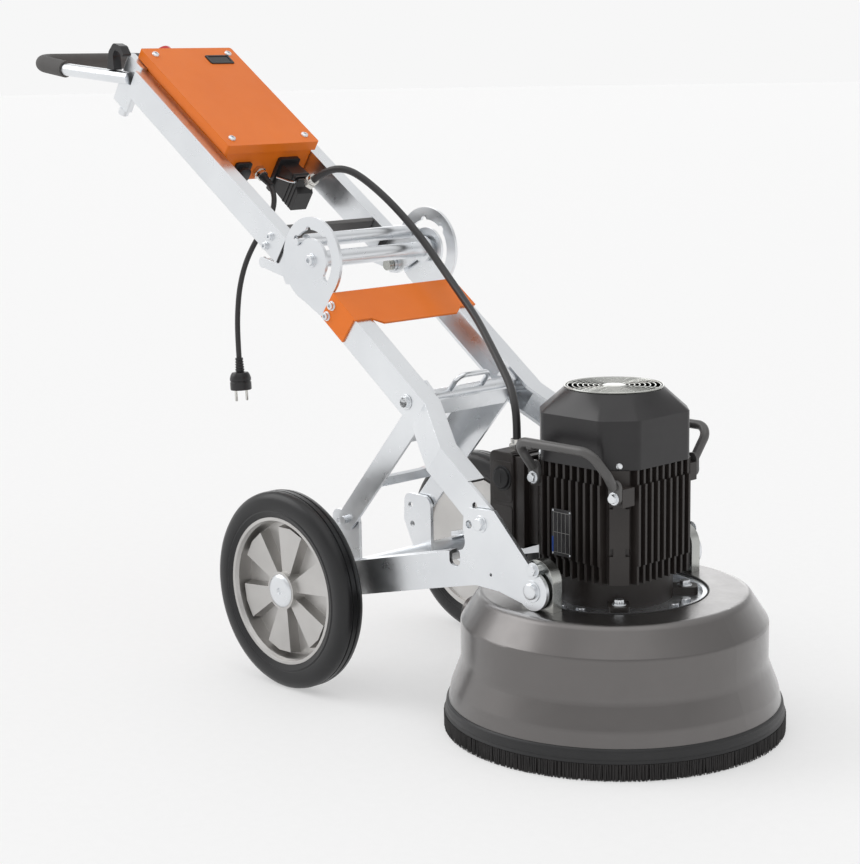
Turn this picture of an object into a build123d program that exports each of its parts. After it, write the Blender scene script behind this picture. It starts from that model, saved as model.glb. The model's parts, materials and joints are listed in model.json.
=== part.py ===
"""Walk-behind planetary floor grinder, in millimetres.

The origin is on the floor, on the axis of the grinding head. +X points away from the operator,
+Y to the operator's left and +Z up.
"""
import os
from math import cos, pi, radians, sin, sqrt, tan

from build123d import *

os.makedirs("parts", exist_ok=True)

SIDES = {"right": -1, "left": 1}
RUN_FIT = 0.06
TOUCH_GAP = 0.4
SHEET = 6.0

# Grinding head
SKIRT_RADIUS = 250.0
SKIRT_HEIGHT = 24.0
BAND_TOP = 44.0
BAND_RADIUS = 248.3
SHROUD_TOP = 203.0
SHROUD_TOP_RADIUS = 196.0
SHROUD_WALL_RADIUS = 223.4
SHROUD_WALL_TOP = 161.0
SHROUD_WALL_BOTTOM = 103.0
SHROUD_FLARE_BOTTOM = 65.0
SHROUD_FLARE_RADIUS = 238.0
SHROUD_RIM_RADIUS = 242.4
SHROUD_WALL = 3.0
SHROUD_BENDS = (14.0, 9.0, 34.0, 26.0)
OPENING_RADIUS = 138.0
PLATE_RADIUS = 150.0
PLATE_TOP = 195.0
PLATE_THICK = 8.0
PLATE_RIM_RADIUS = 135.0
PLATE_RIM_TOP = 201.3
PORT_RADIUS = 25.0
PORT_HEIGHT = 112.0
PORT_REACH = 292.0
PORT_INNER_END = 212.0

# Planetary drive
MODULE = 2.5
SUN_TEETH = 60
PLANET_TEETH = 40
ORBIT = MODULE * (SUN_TEETH + PLANET_TEETH) / 2
DISC_COUNT = 3
DISC_RADIUS = 100.0
SEGMENT_HEIGHT = 10.0
DISC_THICK = 10.0
CARRIER_BOTTOM = 40.0
CARRIER_THICK = 16.0
CARRIER_RADIUS = 165.0
GEAR_BOTTOM = 66.0
GEAR_THICK = 20.0
SPINDLE_RADIUS = 14.0
SHAFT_RADIUS = 18.0
HEAD_SHAFT_TOP = 232.0

# Motor
MOTOR_BASE_RADIUS = 85.0
MOTOR_BASE_TOP = 235.0
MOTOR_TOP = 399.0
MOTOR_CORE = 160.0
FIN_REACH = 95.0
FIN_STEP = 3.0
FIN_BULGE_BOTTOM, FIN_BULGE_TOP = 262.0, 378.0
FIN_PITCH = 13.6
FIN_THICK = 4.2
FIN_COUNT = 9
RIB_FACE, RIB_DEPTH, RIB_WIDTH = 108.0, 20.0, 28.0
RIB_NOTCHES = (277.0, 345.0)
NOTCH_SIZE = 11.0
BLOCK_BACK, BLOCK_FACE = 68.0, 93.0
BLOCK_WIDTH, BLOCK_HEIGHT = 21.0, 26.0
NEAR_LUG_X, NEAR_LUG_Z = 66.0, 374.0
FAR_LUG_X, FAR_LUG_Z = 86.0, 365.0
COWL_HALF = 93.5
COWL_CHAMFER = 38.0
COWL_SHOULDER = 468.0
COWL_TOP = 500.0
GRILLE_RADIUS = 71.7
GRILLE_THICK = 3.6
HANDLE_TUBE_RADIUS = 6.8

# Chassis
PIVOT_X, PIVOT_Z = -2.4, 231.7
LOCK_X, LOCK_Z = 2.0, 262.8
PLATE_INNER, PLATE_OUTER = 165.0, 171.0
BRACKET_INNER, BRACKET_OUTER = 143.0, 161.2
FRAME_PIVOT_X, FRAME_PIVOT_Z = -102.1, 311.9
BRACE_PIVOT_X, BRACE_PIVOT_Z = -485.0, 245.0
PIVOT_BOLT_RADIUS = 8.0
LOCK_PIN_RADIUS = 5.3
BOLT_RADIUS = 6.0

# Wheels
AXLE_X, WHEEL_RADIUS = -482.0, 155.7
AXLE_Z = WHEEL_RADIUS
AXLE_RADIUS = 10.0
WHEEL_INNER, WHEEL_OUTER = 190.0, 235.7
RIM_RADIUS = 116.0
RIM_WALL = 8.0
HUB_RADIUS = 30.0
SPOKE_COUNT = 6
SPOKE_PHASE = 20.0
SPOKE_BACK, SPOKE_FACE = 200.0, 222.0
SPOKE_DRAFT = 8.0
HUB_CAP_RADIUS = 26.0
HUB_CAP_BACK = 230.0

# Lower frame
RAIL_SLOPE = 36.6
RAIL_X, RAIL_Z = -337.3, 519.7
RAIL_DEPTH = 48.0
RAIL_OUTER = 126.0
RAIL_INNER = 93.0
HINGE_X, HINGE_Z = -510.0, 659.0
DISC_OUTER_RADIUS = 67.5
LOCK_ARC = 41.0
LOCK_REST_ANGLE = 138.0
NOTCH_ANGLES = (138.0, 97.0, 44.0)
LOCK_BAR_RADIUS = 5.5
TUBE_X, TUBE_Z = -300.0, 460.0
TUBE_RADIUS = 12.5

# Upper frame and control box
UPPER_X, UPPER_Z = -579.7, 688.3
UPPER_SLOPE = 34.37
UPPER_LENGTH = 466.0
UPPER_DEPTH = 48.0
UPPER_OUTER = 118.0
UPPER_INNER = 93.0
TUBE_WALL = 3.0
BOX_FRONT, BOX_REAR = 218.0, 494.0
BOX_HALF = 92.0
BOX_DEPTH = 50.0
LID_FRONT, LID_REAR = 214.5, 497.5
LID_HALF = 97.0
LID_LOW, LID_HIGH = 6.5, 23.5
GRIP_BAR_RADIUS = 11.0
GRIP_RADIUS = 14.5


def at_y(y):
    """Side-view plane at this Y, drawn in X and Z, whose normal is -Y."""
    return Plane(origin=(0, y, 0), x_dir=(1, 0, 0), z_dir=(0, -1, 0))


def side_plane(side, inner, outer):
    """The plane from which a plate on this side is extruded, and how thick it is."""
    return at_y(max(side * inner, side * outer))


rail_cos, rail_sin = cos(radians(RAIL_SLOPE)), sin(radians(RAIL_SLOPE))
upper_cos, upper_sin = cos(radians(UPPER_SLOPE)), sin(radians(UPPER_SLOPE))


def rail_plane(height):
    """Plane on a lower rail's top face: local x runs down the rail, local y is +Y."""
    origin = (RAIL_X + rail_sin * height, 0, RAIL_Z + rail_cos * height)
    return Plane(origin=origin, x_dir=(rail_cos, 0, -rail_sin), z_dir=(rail_sin, 0, rail_cos))


def rail_point(along, height):
    """X and Z of a point this far down the lower rail and this far above its top face."""
    return (RAIL_X + rail_cos * along + rail_sin * height,
            RAIL_Z - rail_sin * along + rail_cos * height)


def upper_plane(height):
    """Plane on an upper rail's top face: local x runs up the rail, local y is -Y."""
    origin = (UPPER_X + upper_sin * height, 0, UPPER_Z + upper_cos * height)
    return Plane(origin=origin, x_dir=(-upper_cos, 0, upper_sin), z_dir=(upper_sin, 0, upper_cos))


def upper_point(along, height):
    """X and Z of a point this far up the upper rail and this far above its top face."""
    return (UPPER_X - upper_cos * along + upper_sin * height,
            UPPER_Z + upper_sin * along + upper_cos * height)


def upper_end(along):
    """Plane across the upper rails, facing down the rail: local x is +Y and local y is up."""
    x, z = upper_point(along, 0)
    return Plane(origin=(x, 0, z), x_dir=(0, 1, 0), z_dir=(upper_cos, 0, -upper_sin))


def polar(x, z, radius, angle):
    """X and Z of a point on a circle in side view."""
    return (x + radius * cos(radians(angle)), z + radius * sin(radians(angle)))


def bend_radii(points):
    """The largest tangent arcs that neighbouring runs of a cord leave room for."""
    radii = []
    for before, corner, after in zip(points, points[1:], points[2:]):
        first = Vector(*corner) - Vector(*before)
        second = Vector(*after) - Vector(*corner)
        half_turn = radians(first.get_angle(second)) / 2
        radii.append(0.45 * min(first.length, second.length) / tan(half_turn))
    return radii


# ---------------------------------------------------------------- grinding head: shroud and skirt

OUTLINE = [
    (OPENING_RADIUS, SHROUD_TOP), (SHROUD_TOP_RADIUS, SHROUD_TOP),
    (SHROUD_WALL_RADIUS, SHROUD_WALL_TOP), (SHROUD_WALL_RADIUS, SHROUD_WALL_BOTTOM),
    (SHROUD_FLARE_RADIUS, SHROUD_FLARE_BOTTOM), (SHROUD_RIM_RADIUS, BAND_TOP),
]
with BuildPart() as shroud:
    with BuildSketch(Plane.XZ):
        with BuildLine():
            skin = FilletPolyline(*OUTLINE, radius=list(SHROUD_BENDS))
            offset(skin, amount=SHROUD_WALL, side=Side.RIGHT)
        make_face()
    revolve(axis=Axis.Z)
    with BuildSketch(Plane(origin=(-PORT_REACH, 0, PORT_HEIGHT), z_dir=(1, 0, 0))):
        Circle(PORT_RADIUS)
    extrude(amount=PORT_REACH - PORT_INNER_END)
    with BuildSketch(Plane(origin=(-PORT_REACH, 0, PORT_HEIGHT), z_dir=(1, 0, 0))):
        Circle(PORT_RADIUS - SHROUD_WALL)
    extrude(amount=PORT_REACH - PORT_INNER_END, mode=Mode.SUBTRACT)
shroud.part.label = "shroud"
export_step(shroud.part, "parts/shroud.step")

with BuildPart() as skirt_band:
    with BuildSketch(Plane.XZ):
        with BuildLine():
            Polyline((SHROUD_RIM_RADIUS - SHROUD_WALL, BAND_TOP - 1),
                     (SHROUD_RIM_RADIUS + 2.5, BAND_TOP - 1),
                     (BAND_RADIUS, SKIRT_HEIGHT), (SHROUD_RIM_RADIUS - SHROUD_WALL, SKIRT_HEIGHT),
                     close=True)
        make_face()
    revolve(axis=Axis.Z)
skirt_band.part.label = "skirt_band"
export_step(skirt_band.part, "parts/skirt_band.step")

with BuildPart() as brush_skirt:
    with BuildSketch():
        Circle(SKIRT_RADIUS)
        Circle(SHROUD_RIM_RADIUS - SHROUD_WALL, mode=Mode.SUBTRACT)
    extrude(amount=SKIRT_HEIGHT)
    with BuildSketch(Plane.XY.offset(SKIRT_HEIGHT * 0.6)):
        Circle(SKIRT_RADIUS + 1)
        Circle(BAND_RADIUS, mode=Mode.SUBTRACT)
    extrude(amount=SKIRT_HEIGHT, mode=Mode.SUBTRACT)
brush_skirt.part.label = "brush_skirt"
export_step(brush_skirt.part, "parts/brush_skirt.step")

# ---------------------------------------------------------------- grinding head: planetary drive

with BuildPart() as motor_plate:
    with BuildSketch(Plane.XY.offset(PLATE_TOP - PLATE_THICK)):
        Circle(PLATE_RADIUS)
    extrude(amount=PLATE_THICK)
    with BuildSketch(Plane.XY.offset(PLATE_TOP)):
        Circle(PLATE_RADIUS)
        Circle(PLATE_RIM_RADIUS, mode=Mode.SUBTRACT)
    extrude(amount=SHROUD_TOP - SHROUD_WALL - PLATE_TOP)
    with BuildSketch(Plane.XY.offset(PLATE_TOP)):
        Circle(PLATE_RIM_RADIUS)
        Circle(PLATE_RIM_RADIUS - 7, mode=Mode.SUBTRACT)
    extrude(amount=PLATE_RIM_TOP - PLATE_TOP)
    with Locations((0, 0, PLATE_TOP)):
        Hole(SHAFT_RADIUS + RUN_FIT)
motor_plate.part.label = "motor_plate"
export_step(motor_plate.part, "parts/motor_plate.step")

ADDENDUM = 0.88 * MODULE
DEDENDUM = 1.16 * MODULE
PRESSURE = tan(radians(20))
HALF_TOOTH = pi * MODULE / 4 - 0.28


def tooth_points(teeth):
    """Corners of one gear tooth that points along +X, with play taken off both flanks."""
    pitch = MODULE * teeth / 2
    root_half = HALF_TOOTH + DEDENDUM * PRESSURE
    tip_half = HALF_TOOTH - ADDENDUM * PRESSURE
    root, tip = pitch - DEDENDUM - MODULE / 2, pitch + ADDENDUM
    return [(root, -root_half), (tip, -tip_half), (tip, tip_half), (root, root_half)]


def gear_sketch(teeth, start_angle):
    """Spur gear outline whose first tooth points at start_angle."""
    with BuildSketch(mode=Mode.PRIVATE) as gear:
        Circle(MODULE * teeth / 2 - DEDENDUM)
        with PolarLocations(0, teeth, start_angle):
            Polygon(*tooth_points(teeth), align=None)
    return gear.sketch


sun_sketch = gear_sketch(SUN_TEETH, 0)
with BuildPart() as sun_gear:
    with BuildSketch(Plane.XY.offset(GEAR_BOTTOM)):
        add(sun_sketch)
        Circle(SHAFT_RADIUS + 12, mode=Mode.SUBTRACT)
    extrude(amount=GEAR_THICK)
    with BuildSketch(Plane.XY.offset(GEAR_BOTTOM + GEAR_THICK)):
        Circle(SHAFT_RADIUS + 30)
        Circle(SHAFT_RADIUS + 12, mode=Mode.SUBTRACT)
    extrude(amount=PLATE_TOP - PLATE_THICK - GEAR_BOTTOM - GEAR_THICK)
sun_gear.part.label = "sun_gear"
export_step(sun_gear.part, "parts/sun_gear.step")

with BuildPart() as planet_carrier:
    with BuildSketch(Plane.XY.offset(CARRIER_BOTTOM)):
        Circle(CARRIER_RADIUS)
        with PolarLocations(ORBIT, DISC_COUNT):
            Circle(SPINDLE_RADIUS + RUN_FIT, mode=Mode.SUBTRACT)
    extrude(amount=CARRIER_THICK)
    with BuildSketch(Plane.XY.offset(CARRIER_BOTTOM + CARRIER_THICK)):
        Circle(SHAFT_RADIUS)
    extrude(amount=HEAD_SHAFT_TOP - CARRIER_BOTTOM - CARRIER_THICK)
planet_carrier.part.label = "planet_carrier"
export_step(planet_carrier.part, "parts/planet_carrier.step")

for number in range(DISC_COUNT):
    angle = 360 / DISC_COUNT * number
    centre = (ORBIT * cos(radians(angle)), ORBIT * sin(radians(angle)))
    planet_sketch = gear_sketch(PLANET_TEETH, angle + 180 + 180 / PLANET_TEETH)
    with BuildPart() as tool_disc:
        with BuildSketch(Plane.XY.offset(SEGMENT_HEIGHT)):
            with Locations(centre):
                Circle(DISC_RADIUS)
                Circle(DISC_RADIUS * 0.42, mode=Mode.SUBTRACT)
        extrude(amount=DISC_THICK)
        with BuildSketch(Plane.XY.offset(SEGMENT_HEIGHT + DISC_THICK)):
            with Locations(centre):
                Circle(DISC_RADIUS * 0.62)
        extrude(amount=SHEET)
        with BuildSketch(Plane.XY.offset(SEGMENT_HEIGHT + DISC_THICK + SHEET)):
            with Locations(centre):
                Circle(SPINDLE_RADIUS)
        extrude(amount=GEAR_BOTTOM + GEAR_THICK - SEGMENT_HEIGHT - DISC_THICK - SHEET)
        with BuildSketch(Plane.XY.offset(GEAR_BOTTOM)):
            with Locations(centre):
                add(planet_sketch)
        extrude(amount=GEAR_THICK)
    tool_disc.part.label = f"tool_disc_{number + 1}"
    export_step(tool_disc.part, f"parts/tool_disc_{number + 1}.step")

    with BuildPart() as segments:
        with BuildSketch():
            with Locations(centre):
                with PolarLocations(DISC_RADIUS * 0.78, 3 * DISC_COUNT):
                    SlotOverall(36, 16)
        extrude(amount=SEGMENT_HEIGHT)
    segments.part.label = f"diamond_segments_{number + 1}"
    export_step(segments.part, f"parts/diamond_segments_{number + 1}.step")

# ---------------------------------------------------------------- grinding head: pivot brackets

for name, side in SIDES.items():
    with BuildPart() as head_bracket:
        with BuildSketch(side_plane(side, BRACKET_INNER, BRACKET_OUTER)):
            with Locations((-1, (SHROUD_TOP + 245) / 2)):
                Rectangle(60, 245 - SHROUD_TOP)
            with Locations((-1, 245)):
                Circle(30)
            with Locations((PIVOT_X, PIVOT_Z)):
                Circle(PIVOT_BOLT_RADIUS + RUN_FIT, mode=Mode.SUBTRACT)
            with Locations((LOCK_X, LOCK_Z)):
                Circle(LOCK_PIN_RADIUS, mode=Mode.SUBTRACT)
        extrude(amount=BRACKET_OUTER - BRACKET_INNER)
    head_bracket.part.label = f"head_bracket_{name}"
    export_step(head_bracket.part, f"parts/head_bracket_{name}.step")

# ---------------------------------------------------------------- motor

FLANGE_THICK = 12.0
with BuildPart() as motor_housing:
    with BuildSketch(Plane.XY.offset(PLATE_TOP)):
        Circle(MOTOR_BASE_RADIUS)
        with PolarLocations(MOTOR_BASE_RADIUS + 14, 4, 45):
            RectangleRounded(44, 30, 8)
    extrude(amount=FLANGE_THICK)
    with BuildSketch(Plane.XY.offset(PLATE_TOP + FLANGE_THICK)):
        Circle(MOTOR_BASE_RADIUS)
    extrude(amount=MOTOR_BASE_TOP - PLATE_TOP - FLANGE_THICK)
    with BuildSketch(Plane.XY.offset(MOTOR_BASE_TOP)):
        RectangleRounded(MOTOR_CORE, MOTOR_CORE, 22)
        with PolarLocations(FIN_REACH - FIN_STEP - 12, 4, 0):
            with GridLocations(0, FIN_PITCH, 1, FIN_COUNT):
                Rectangle(24, FIN_THICK)
        with PolarLocations(RIB_FACE - RIB_DEPTH / 2, 4, 45):
            Rectangle(RIB_DEPTH, RIB_WIDTH)
    extrude(amount=MOTOR_TOP - MOTOR_BASE_TOP)
    with BuildSketch(Plane.XY.offset(FIN_BULGE_BOTTOM)):
        with PolarLocations(FIN_REACH - 12, 4, 0):
            with GridLocations(0, FIN_PITCH, 1, FIN_COUNT):
                Rectangle(24, FIN_THICK)
    extrude(amount=FIN_BULGE_TOP - FIN_BULGE_BOTTOM)
    for notch_height in RIB_NOTCHES:
        with BuildSketch(Plane.XY.offset(notch_height)):
            with PolarLocations(RIB_FACE, 4, 45):
                with GridLocations(0, RIB_WIDTH, 1, 2):
                    Rectangle(NOTCH_SIZE, NOTCH_SIZE)
        extrude(amount=NOTCH_SIZE, mode=Mode.SUBTRACT)
    for side in SIDES.values():
        with BuildSketch(side_plane(side, BLOCK_BACK, BLOCK_FACE)):
            with Locations((side * NEAR_LUG_X, NEAR_LUG_Z), (-side * FAR_LUG_X, FAR_LUG_Z)):
                Rectangle(BLOCK_WIDTH, BLOCK_HEIGHT)
        extrude(amount=BLOCK_FACE - BLOCK_BACK)
    with BuildSketch(Plane.XY.offset(PLATE_TOP)):
        Circle(SHAFT_RADIUS + 3)
    extrude(amount=HEAD_SHAFT_TOP - PLATE_TOP + 4, mode=Mode.SUBTRACT)
motor_housing.part.label = "motor_housing"
export_step(motor_housing.part, "parts/motor_housing.step")

COWL_WALL = 3.0
with BuildPart() as fan_cowl:
    with BuildSketch(Plane.XY.offset(MOTOR_TOP)):
        Rectangle(2 * COWL_HALF, 2 * COWL_HALF)
    extrude(amount=COWL_SHOULDER - MOTOR_TOP)
    chamfer(fan_cowl.edges().filter_by(Axis.Z), length=COWL_CHAMFER)
    fillet(fan_cowl.edges().filter_by(Axis.Z), radius=14)
    with BuildSketch(Plane.XY.offset(COWL_SHOULDER)):
        add(fan_cowl.faces().sort_by(Axis.Z)[-1])
    with BuildSketch(Plane.XY.offset(COWL_TOP)):
        Circle(GRILLE_RADIUS)
    loft()
    with BuildSketch(Plane.XY.offset(MOTOR_TOP)):
        Circle(COWL_HALF - 2 * COWL_WALL)
    with BuildSketch(Plane.XY.offset(COWL_SHOULDER)):
        Circle(COWL_HALF - 2 * COWL_WALL)
    loft(mode=Mode.SUBTRACT)
    with BuildSketch(Plane.XY.offset(COWL_SHOULDER)):
        Circle(COWL_HALF - 2 * COWL_WALL)
    with BuildSketch(Plane.XY.offset(COWL_TOP)):
        Circle(GRILLE_RADIUS - COWL_WALL)
    loft(mode=Mode.SUBTRACT)
fan_cowl.part.label = "fan_cowl"
export_step(fan_cowl.part, "parts/fan_cowl.step")

WIRE = 2.0
with BuildPart() as fan_grille:
    with BuildSketch(Plane.XY.offset(COWL_TOP)):
        Circle(GRILLE_RADIUS)
        Circle(GRILLE_RADIUS - 5, mode=Mode.SUBTRACT)
    extrude(amount=GRILLE_THICK)
    with BuildSketch(Plane.XY.offset(COWL_TOP + 1)):
        for ring in range(6, 0, -1):
            Circle(16 + 8 * ring)
            Circle(16 + 8 * ring - WIRE, mode=Mode.SUBTRACT)
        Circle(16)
        with PolarLocations(42, 12, 0):
            Rectangle(52, WIRE)
    extrude(amount=WIRE)
fan_grille.part.label = "fan_grille"
export_step(fan_grille.part, "parts/fan_grille.step")

LUG_FACE, LUG_SHEET, LUG_RADIUS, TUBE_RISE = 93.2, 5.8, 10.0, 15.0
BAR_Y, BAR_TOP_Z = 132.0, 432.0
for name, side in SIDES.items():
    lug_places = [(side * NEAR_LUG_X, NEAR_LUG_Z), (-side * FAR_LUG_X, FAR_LUG_Z)]
    tube_y = side * (LUG_FACE + LUG_SHEET + 1)
    path_points = [
        (side * NEAR_LUG_X, tube_y, NEAR_LUG_Z + TUBE_RISE), (side * NEAR_LUG_X, side * 112, 404),
        (side * 68, side * BAR_Y, BAR_TOP_Z), (-side * 72, side * BAR_Y, BAR_TOP_Z),
        (-side * FAR_LUG_X, side * 112, 398), (-side * FAR_LUG_X, tube_y, FAR_LUG_Z + TUBE_RISE),
    ]
    with BuildPart() as lifting_handle:
        with BuildLine() as handle_path:
            FilletPolyline(*path_points, radius=[8, 20, 24, 8])
        with BuildSketch(handle_path.line ^ 0):
            Circle(HANDLE_TUBE_RADIUS)
        sweep()
        with BuildSketch(side_plane(side, LUG_FACE, LUG_FACE + LUG_SHEET)):
            for lug_x, lug_z in lug_places:
                with Locations((lug_x, lug_z + TUBE_RISE / 2)):
                    SlotOverall(2 * LUG_RADIUS + TUBE_RISE, 2 * LUG_RADIUS, rotation=90)
        extrude(amount=LUG_SHEET)
    lifting_handle.part.label = f"lifting_handle_{name}"
    export_step(lifting_handle.part, f"parts/lifting_handle_{name}.step")

with BuildPart() as terminal_box:
    with BuildSketch(Plane.XY.offset(252)):
        with Locations((-150.3, 0)):
            RectangleRounded(43.4, 140, 5)
    extrude(amount=144)
    with BuildSketch(Plane.XY.offset(250)):
        with Locations((-175.5, 0)):
            RectangleRounded(7, 146, 3)
    extrude(amount=150)
    with BuildSketch(Plane.XY.offset(264)):
        with Locations((-112.5, 0)):
            Rectangle(35, 104)
    extrude(amount=118)
    with BuildSketch(at_y(-70)):
        with Locations((-151.7, 357)):
            Circle(17)
    extrude(amount=5)
    with BuildSketch(at_y(-73.5)):
        with Locations((-151.7, 357)):
            Rectangle(3, 18)
    extrude(amount=3, mode=Mode.SUBTRACT)
terminal_box.part.label = "terminal_box"
export_step(terminal_box.part, "parts/terminal_box.step")

LOCK_HEAD_START = PLATE_OUTER + 1.2
LUG_HEAD_FACE = LUG_FACE + LUG_SHEET + 0.2
with BuildPart() as head_fasteners:
    with BuildSketch(Plane.XY.offset(PLATE_TOP)):
        with PolarLocations(112, 4, 0):
            RegularPolygon(8, 6)
        with PolarLocations(112, 4, 17):
            RegularPolygon(8, 6)
    extrude(amount=7)
    with BuildSketch(Plane.XY.offset(PLATE_TOP + 12)):
        with PolarLocations(MOTOR_BASE_RADIUS + 18, 4, 45):
            RegularPolygon(8, 6)
    extrude(amount=8)
    for side in SIDES.values():
        with BuildSketch(side_plane(side, LUG_HEAD_FACE, LUG_HEAD_FACE + SHEET)):
            with Locations((side * NEAR_LUG_X, NEAR_LUG_Z), (-side * FAR_LUG_X, FAR_LUG_Z)):
                RegularPolygon(7.5, 6)
        extrude(amount=SHEET)
        with BuildSketch(side_plane(side, BRACKET_INNER, LOCK_HEAD_START)):
            with Locations((LOCK_X, LOCK_Z)):
                Circle(LOCK_PIN_RADIUS)
        extrude(amount=LOCK_HEAD_START - BRACKET_INNER)
        with BuildSketch(side_plane(side, LOCK_HEAD_START, LOCK_HEAD_START + SHEET)):
            with Locations((LOCK_X, LOCK_Z)):
                RegularPolygon(8.5, 6)
        extrude(amount=SHEET)
head_fasteners.part.label = "head_fasteners"
export_step(head_fasteners.part, "parts/head_fasteners.step")

# ---------------------------------------------------------------- chassis

BEAM_TOP_X, BEAM_TOP_Z = -168.4, 261.4
BEAM_SLOPE = 0.2439
BEAM_END_TOP = BEAM_TOP_Z + BEAM_SLOPE * (AXLE_X - BEAM_TOP_X)
NOTCH_RADIUS = 9.4
NOSE_RADIUS = 28.0
for name, side in SIDES.items():
    with BuildPart() as side_plate:
        with BuildSketch(side_plane(side, PLATE_INNER, PLATE_OUTER)):
            with BuildLine():
                FilletPolyline(
                    (-74.9, 335), (-134.7, 332), (-137.5, 300), (-131, 270),
                    (BEAM_TOP_X, BEAM_TOP_Z), (AXLE_X, BEAM_END_TOP), (AXLE_X, AXLE_Z - 25),
                    (-208.4, 198.1), (-112.8, 220.8), (-66.9, 220),
                    (-16, PIVOT_Z - 22), (16, PIVOT_Z + 20), (-9, 269.3),
                    radius=[12, 20, 14, 8, 0.5, 0.5, 40, 40, 40, 6, 4], close=False)
                Line((-9, 269.3), (-74.9, 335))
            make_face()
            with Locations((PIVOT_X, PIVOT_Z)):
                Circle(NOSE_RADIUS)
            with Locations((AXLE_X, AXLE_Z)):
                Circle(28)
            with Locations((LOCK_X, LOCK_Z), (LOCK_X + 4, LOCK_Z + 12)):
                Circle(NOTCH_RADIUS, mode=Mode.SUBTRACT)
            with Locations((PIVOT_X, PIVOT_Z)):
                Circle(PIVOT_BOLT_RADIUS, mode=Mode.SUBTRACT)
            with Locations((AXLE_X, AXLE_Z)):
                Circle(AXLE_RADIUS, mode=Mode.SUBTRACT)
            with Locations((FRAME_PIVOT_X, FRAME_PIVOT_Z), (-125.1, 307.9)):
                Circle(BOLT_RADIUS, mode=Mode.SUBTRACT)
            with Locations((-82, 241.1)):
                Circle(2.4, mode=Mode.SUBTRACT)
            with Locations((-155, 255)):
                RectangleRounded(22, 26, 8, mode=Mode.SUBTRACT)
        extrude(amount=PLATE_OUTER - PLATE_INNER)
        flange_inner = PLATE_INNER - 24
        with BuildSketch(side_plane(side, flange_inner, PLATE_INNER)):
            with BuildLine():
                Polyline((BEAM_TOP_X - 12, BEAM_TOP_Z - 3), (AXLE_X, BEAM_END_TOP),
                         (AXLE_X, BEAM_END_TOP - SHEET), (BEAM_TOP_X - 12, BEAM_TOP_Z - 3 - SHEET),
                         close=True)
            make_face()
        extrude(amount=PLATE_INNER - flange_inner)
    side_plate.part.label = f"side_plate_{name}"
    export_step(side_plate.part, f"parts/side_plate_{name}.step")

HUB_GAP = 0.5
with BuildPart() as axle:
    with BuildSketch(at_y(WHEEL_OUTER - 6)):
        with Locations((AXLE_X, AXLE_Z)):
            Circle(AXLE_RADIUS)
    extrude(amount=2 * (WHEEL_OUTER - 6))
    for side in SIDES.values():
        with BuildSketch(side_plane(side, PLATE_OUTER, WHEEL_INNER - HUB_GAP)):
            with Locations((AXLE_X, AXLE_Z)):
                Circle(AXLE_RADIUS + 7)
        extrude(amount=WHEEL_INNER - HUB_GAP - PLATE_OUTER)
axle.part.label = "axle"
export_step(axle.part, "parts/axle.step")

LUG_INNER, LUG_OUTER = 76.0, 82.0
with BuildPart() as cross_member:
    with BuildSketch(at_y(PLATE_INNER)):
        with Locations((AXLE_X, AXLE_Z)):
            Circle(20)
            Circle(AXLE_RADIUS + 0.3, mode=Mode.SUBTRACT)
    extrude(amount=2 * PLATE_INNER)
    for side in SIDES.values():
        with BuildSketch(side_plane(side, LUG_INNER, LUG_OUTER)):
            with BuildLine():
                FilletPolyline((AXLE_X - 19, AXLE_Z + 2), (AXLE_X + 19, AXLE_Z + 2),
                               (BRACE_PIVOT_X + 22, BRACE_PIVOT_Z + 12),
                               (BRACE_PIVOT_X - 40, BRACE_PIVOT_Z + 12),
                               (AXLE_X - 45, AXLE_Z + 55), close=True,
                               radius=[0.5, 0.5, 18, 14, 10])
            make_face()
            with Locations((AXLE_X, AXLE_Z)):
                Circle(19, mode=Mode.SUBTRACT)
            with Locations((BRACE_PIVOT_X - 26, BRACE_PIVOT_Z - 8), (BRACE_PIVOT_X - 22, AXLE_Z + 50)):
                Circle(5, mode=Mode.SUBTRACT)
        extrude(amount=LUG_OUTER - LUG_INNER)
        with BuildSketch(side_plane(side, LUG_INNER, 97.0)):
            with Locations((BRACE_PIVOT_X, BRACE_PIVOT_Z)):
                Circle(BOLT_RADIUS)
        extrude(amount=97.0 - LUG_INNER)
cross_member.part.label = "cross_member"
export_step(cross_member.part, "parts/cross_member.step")

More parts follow.
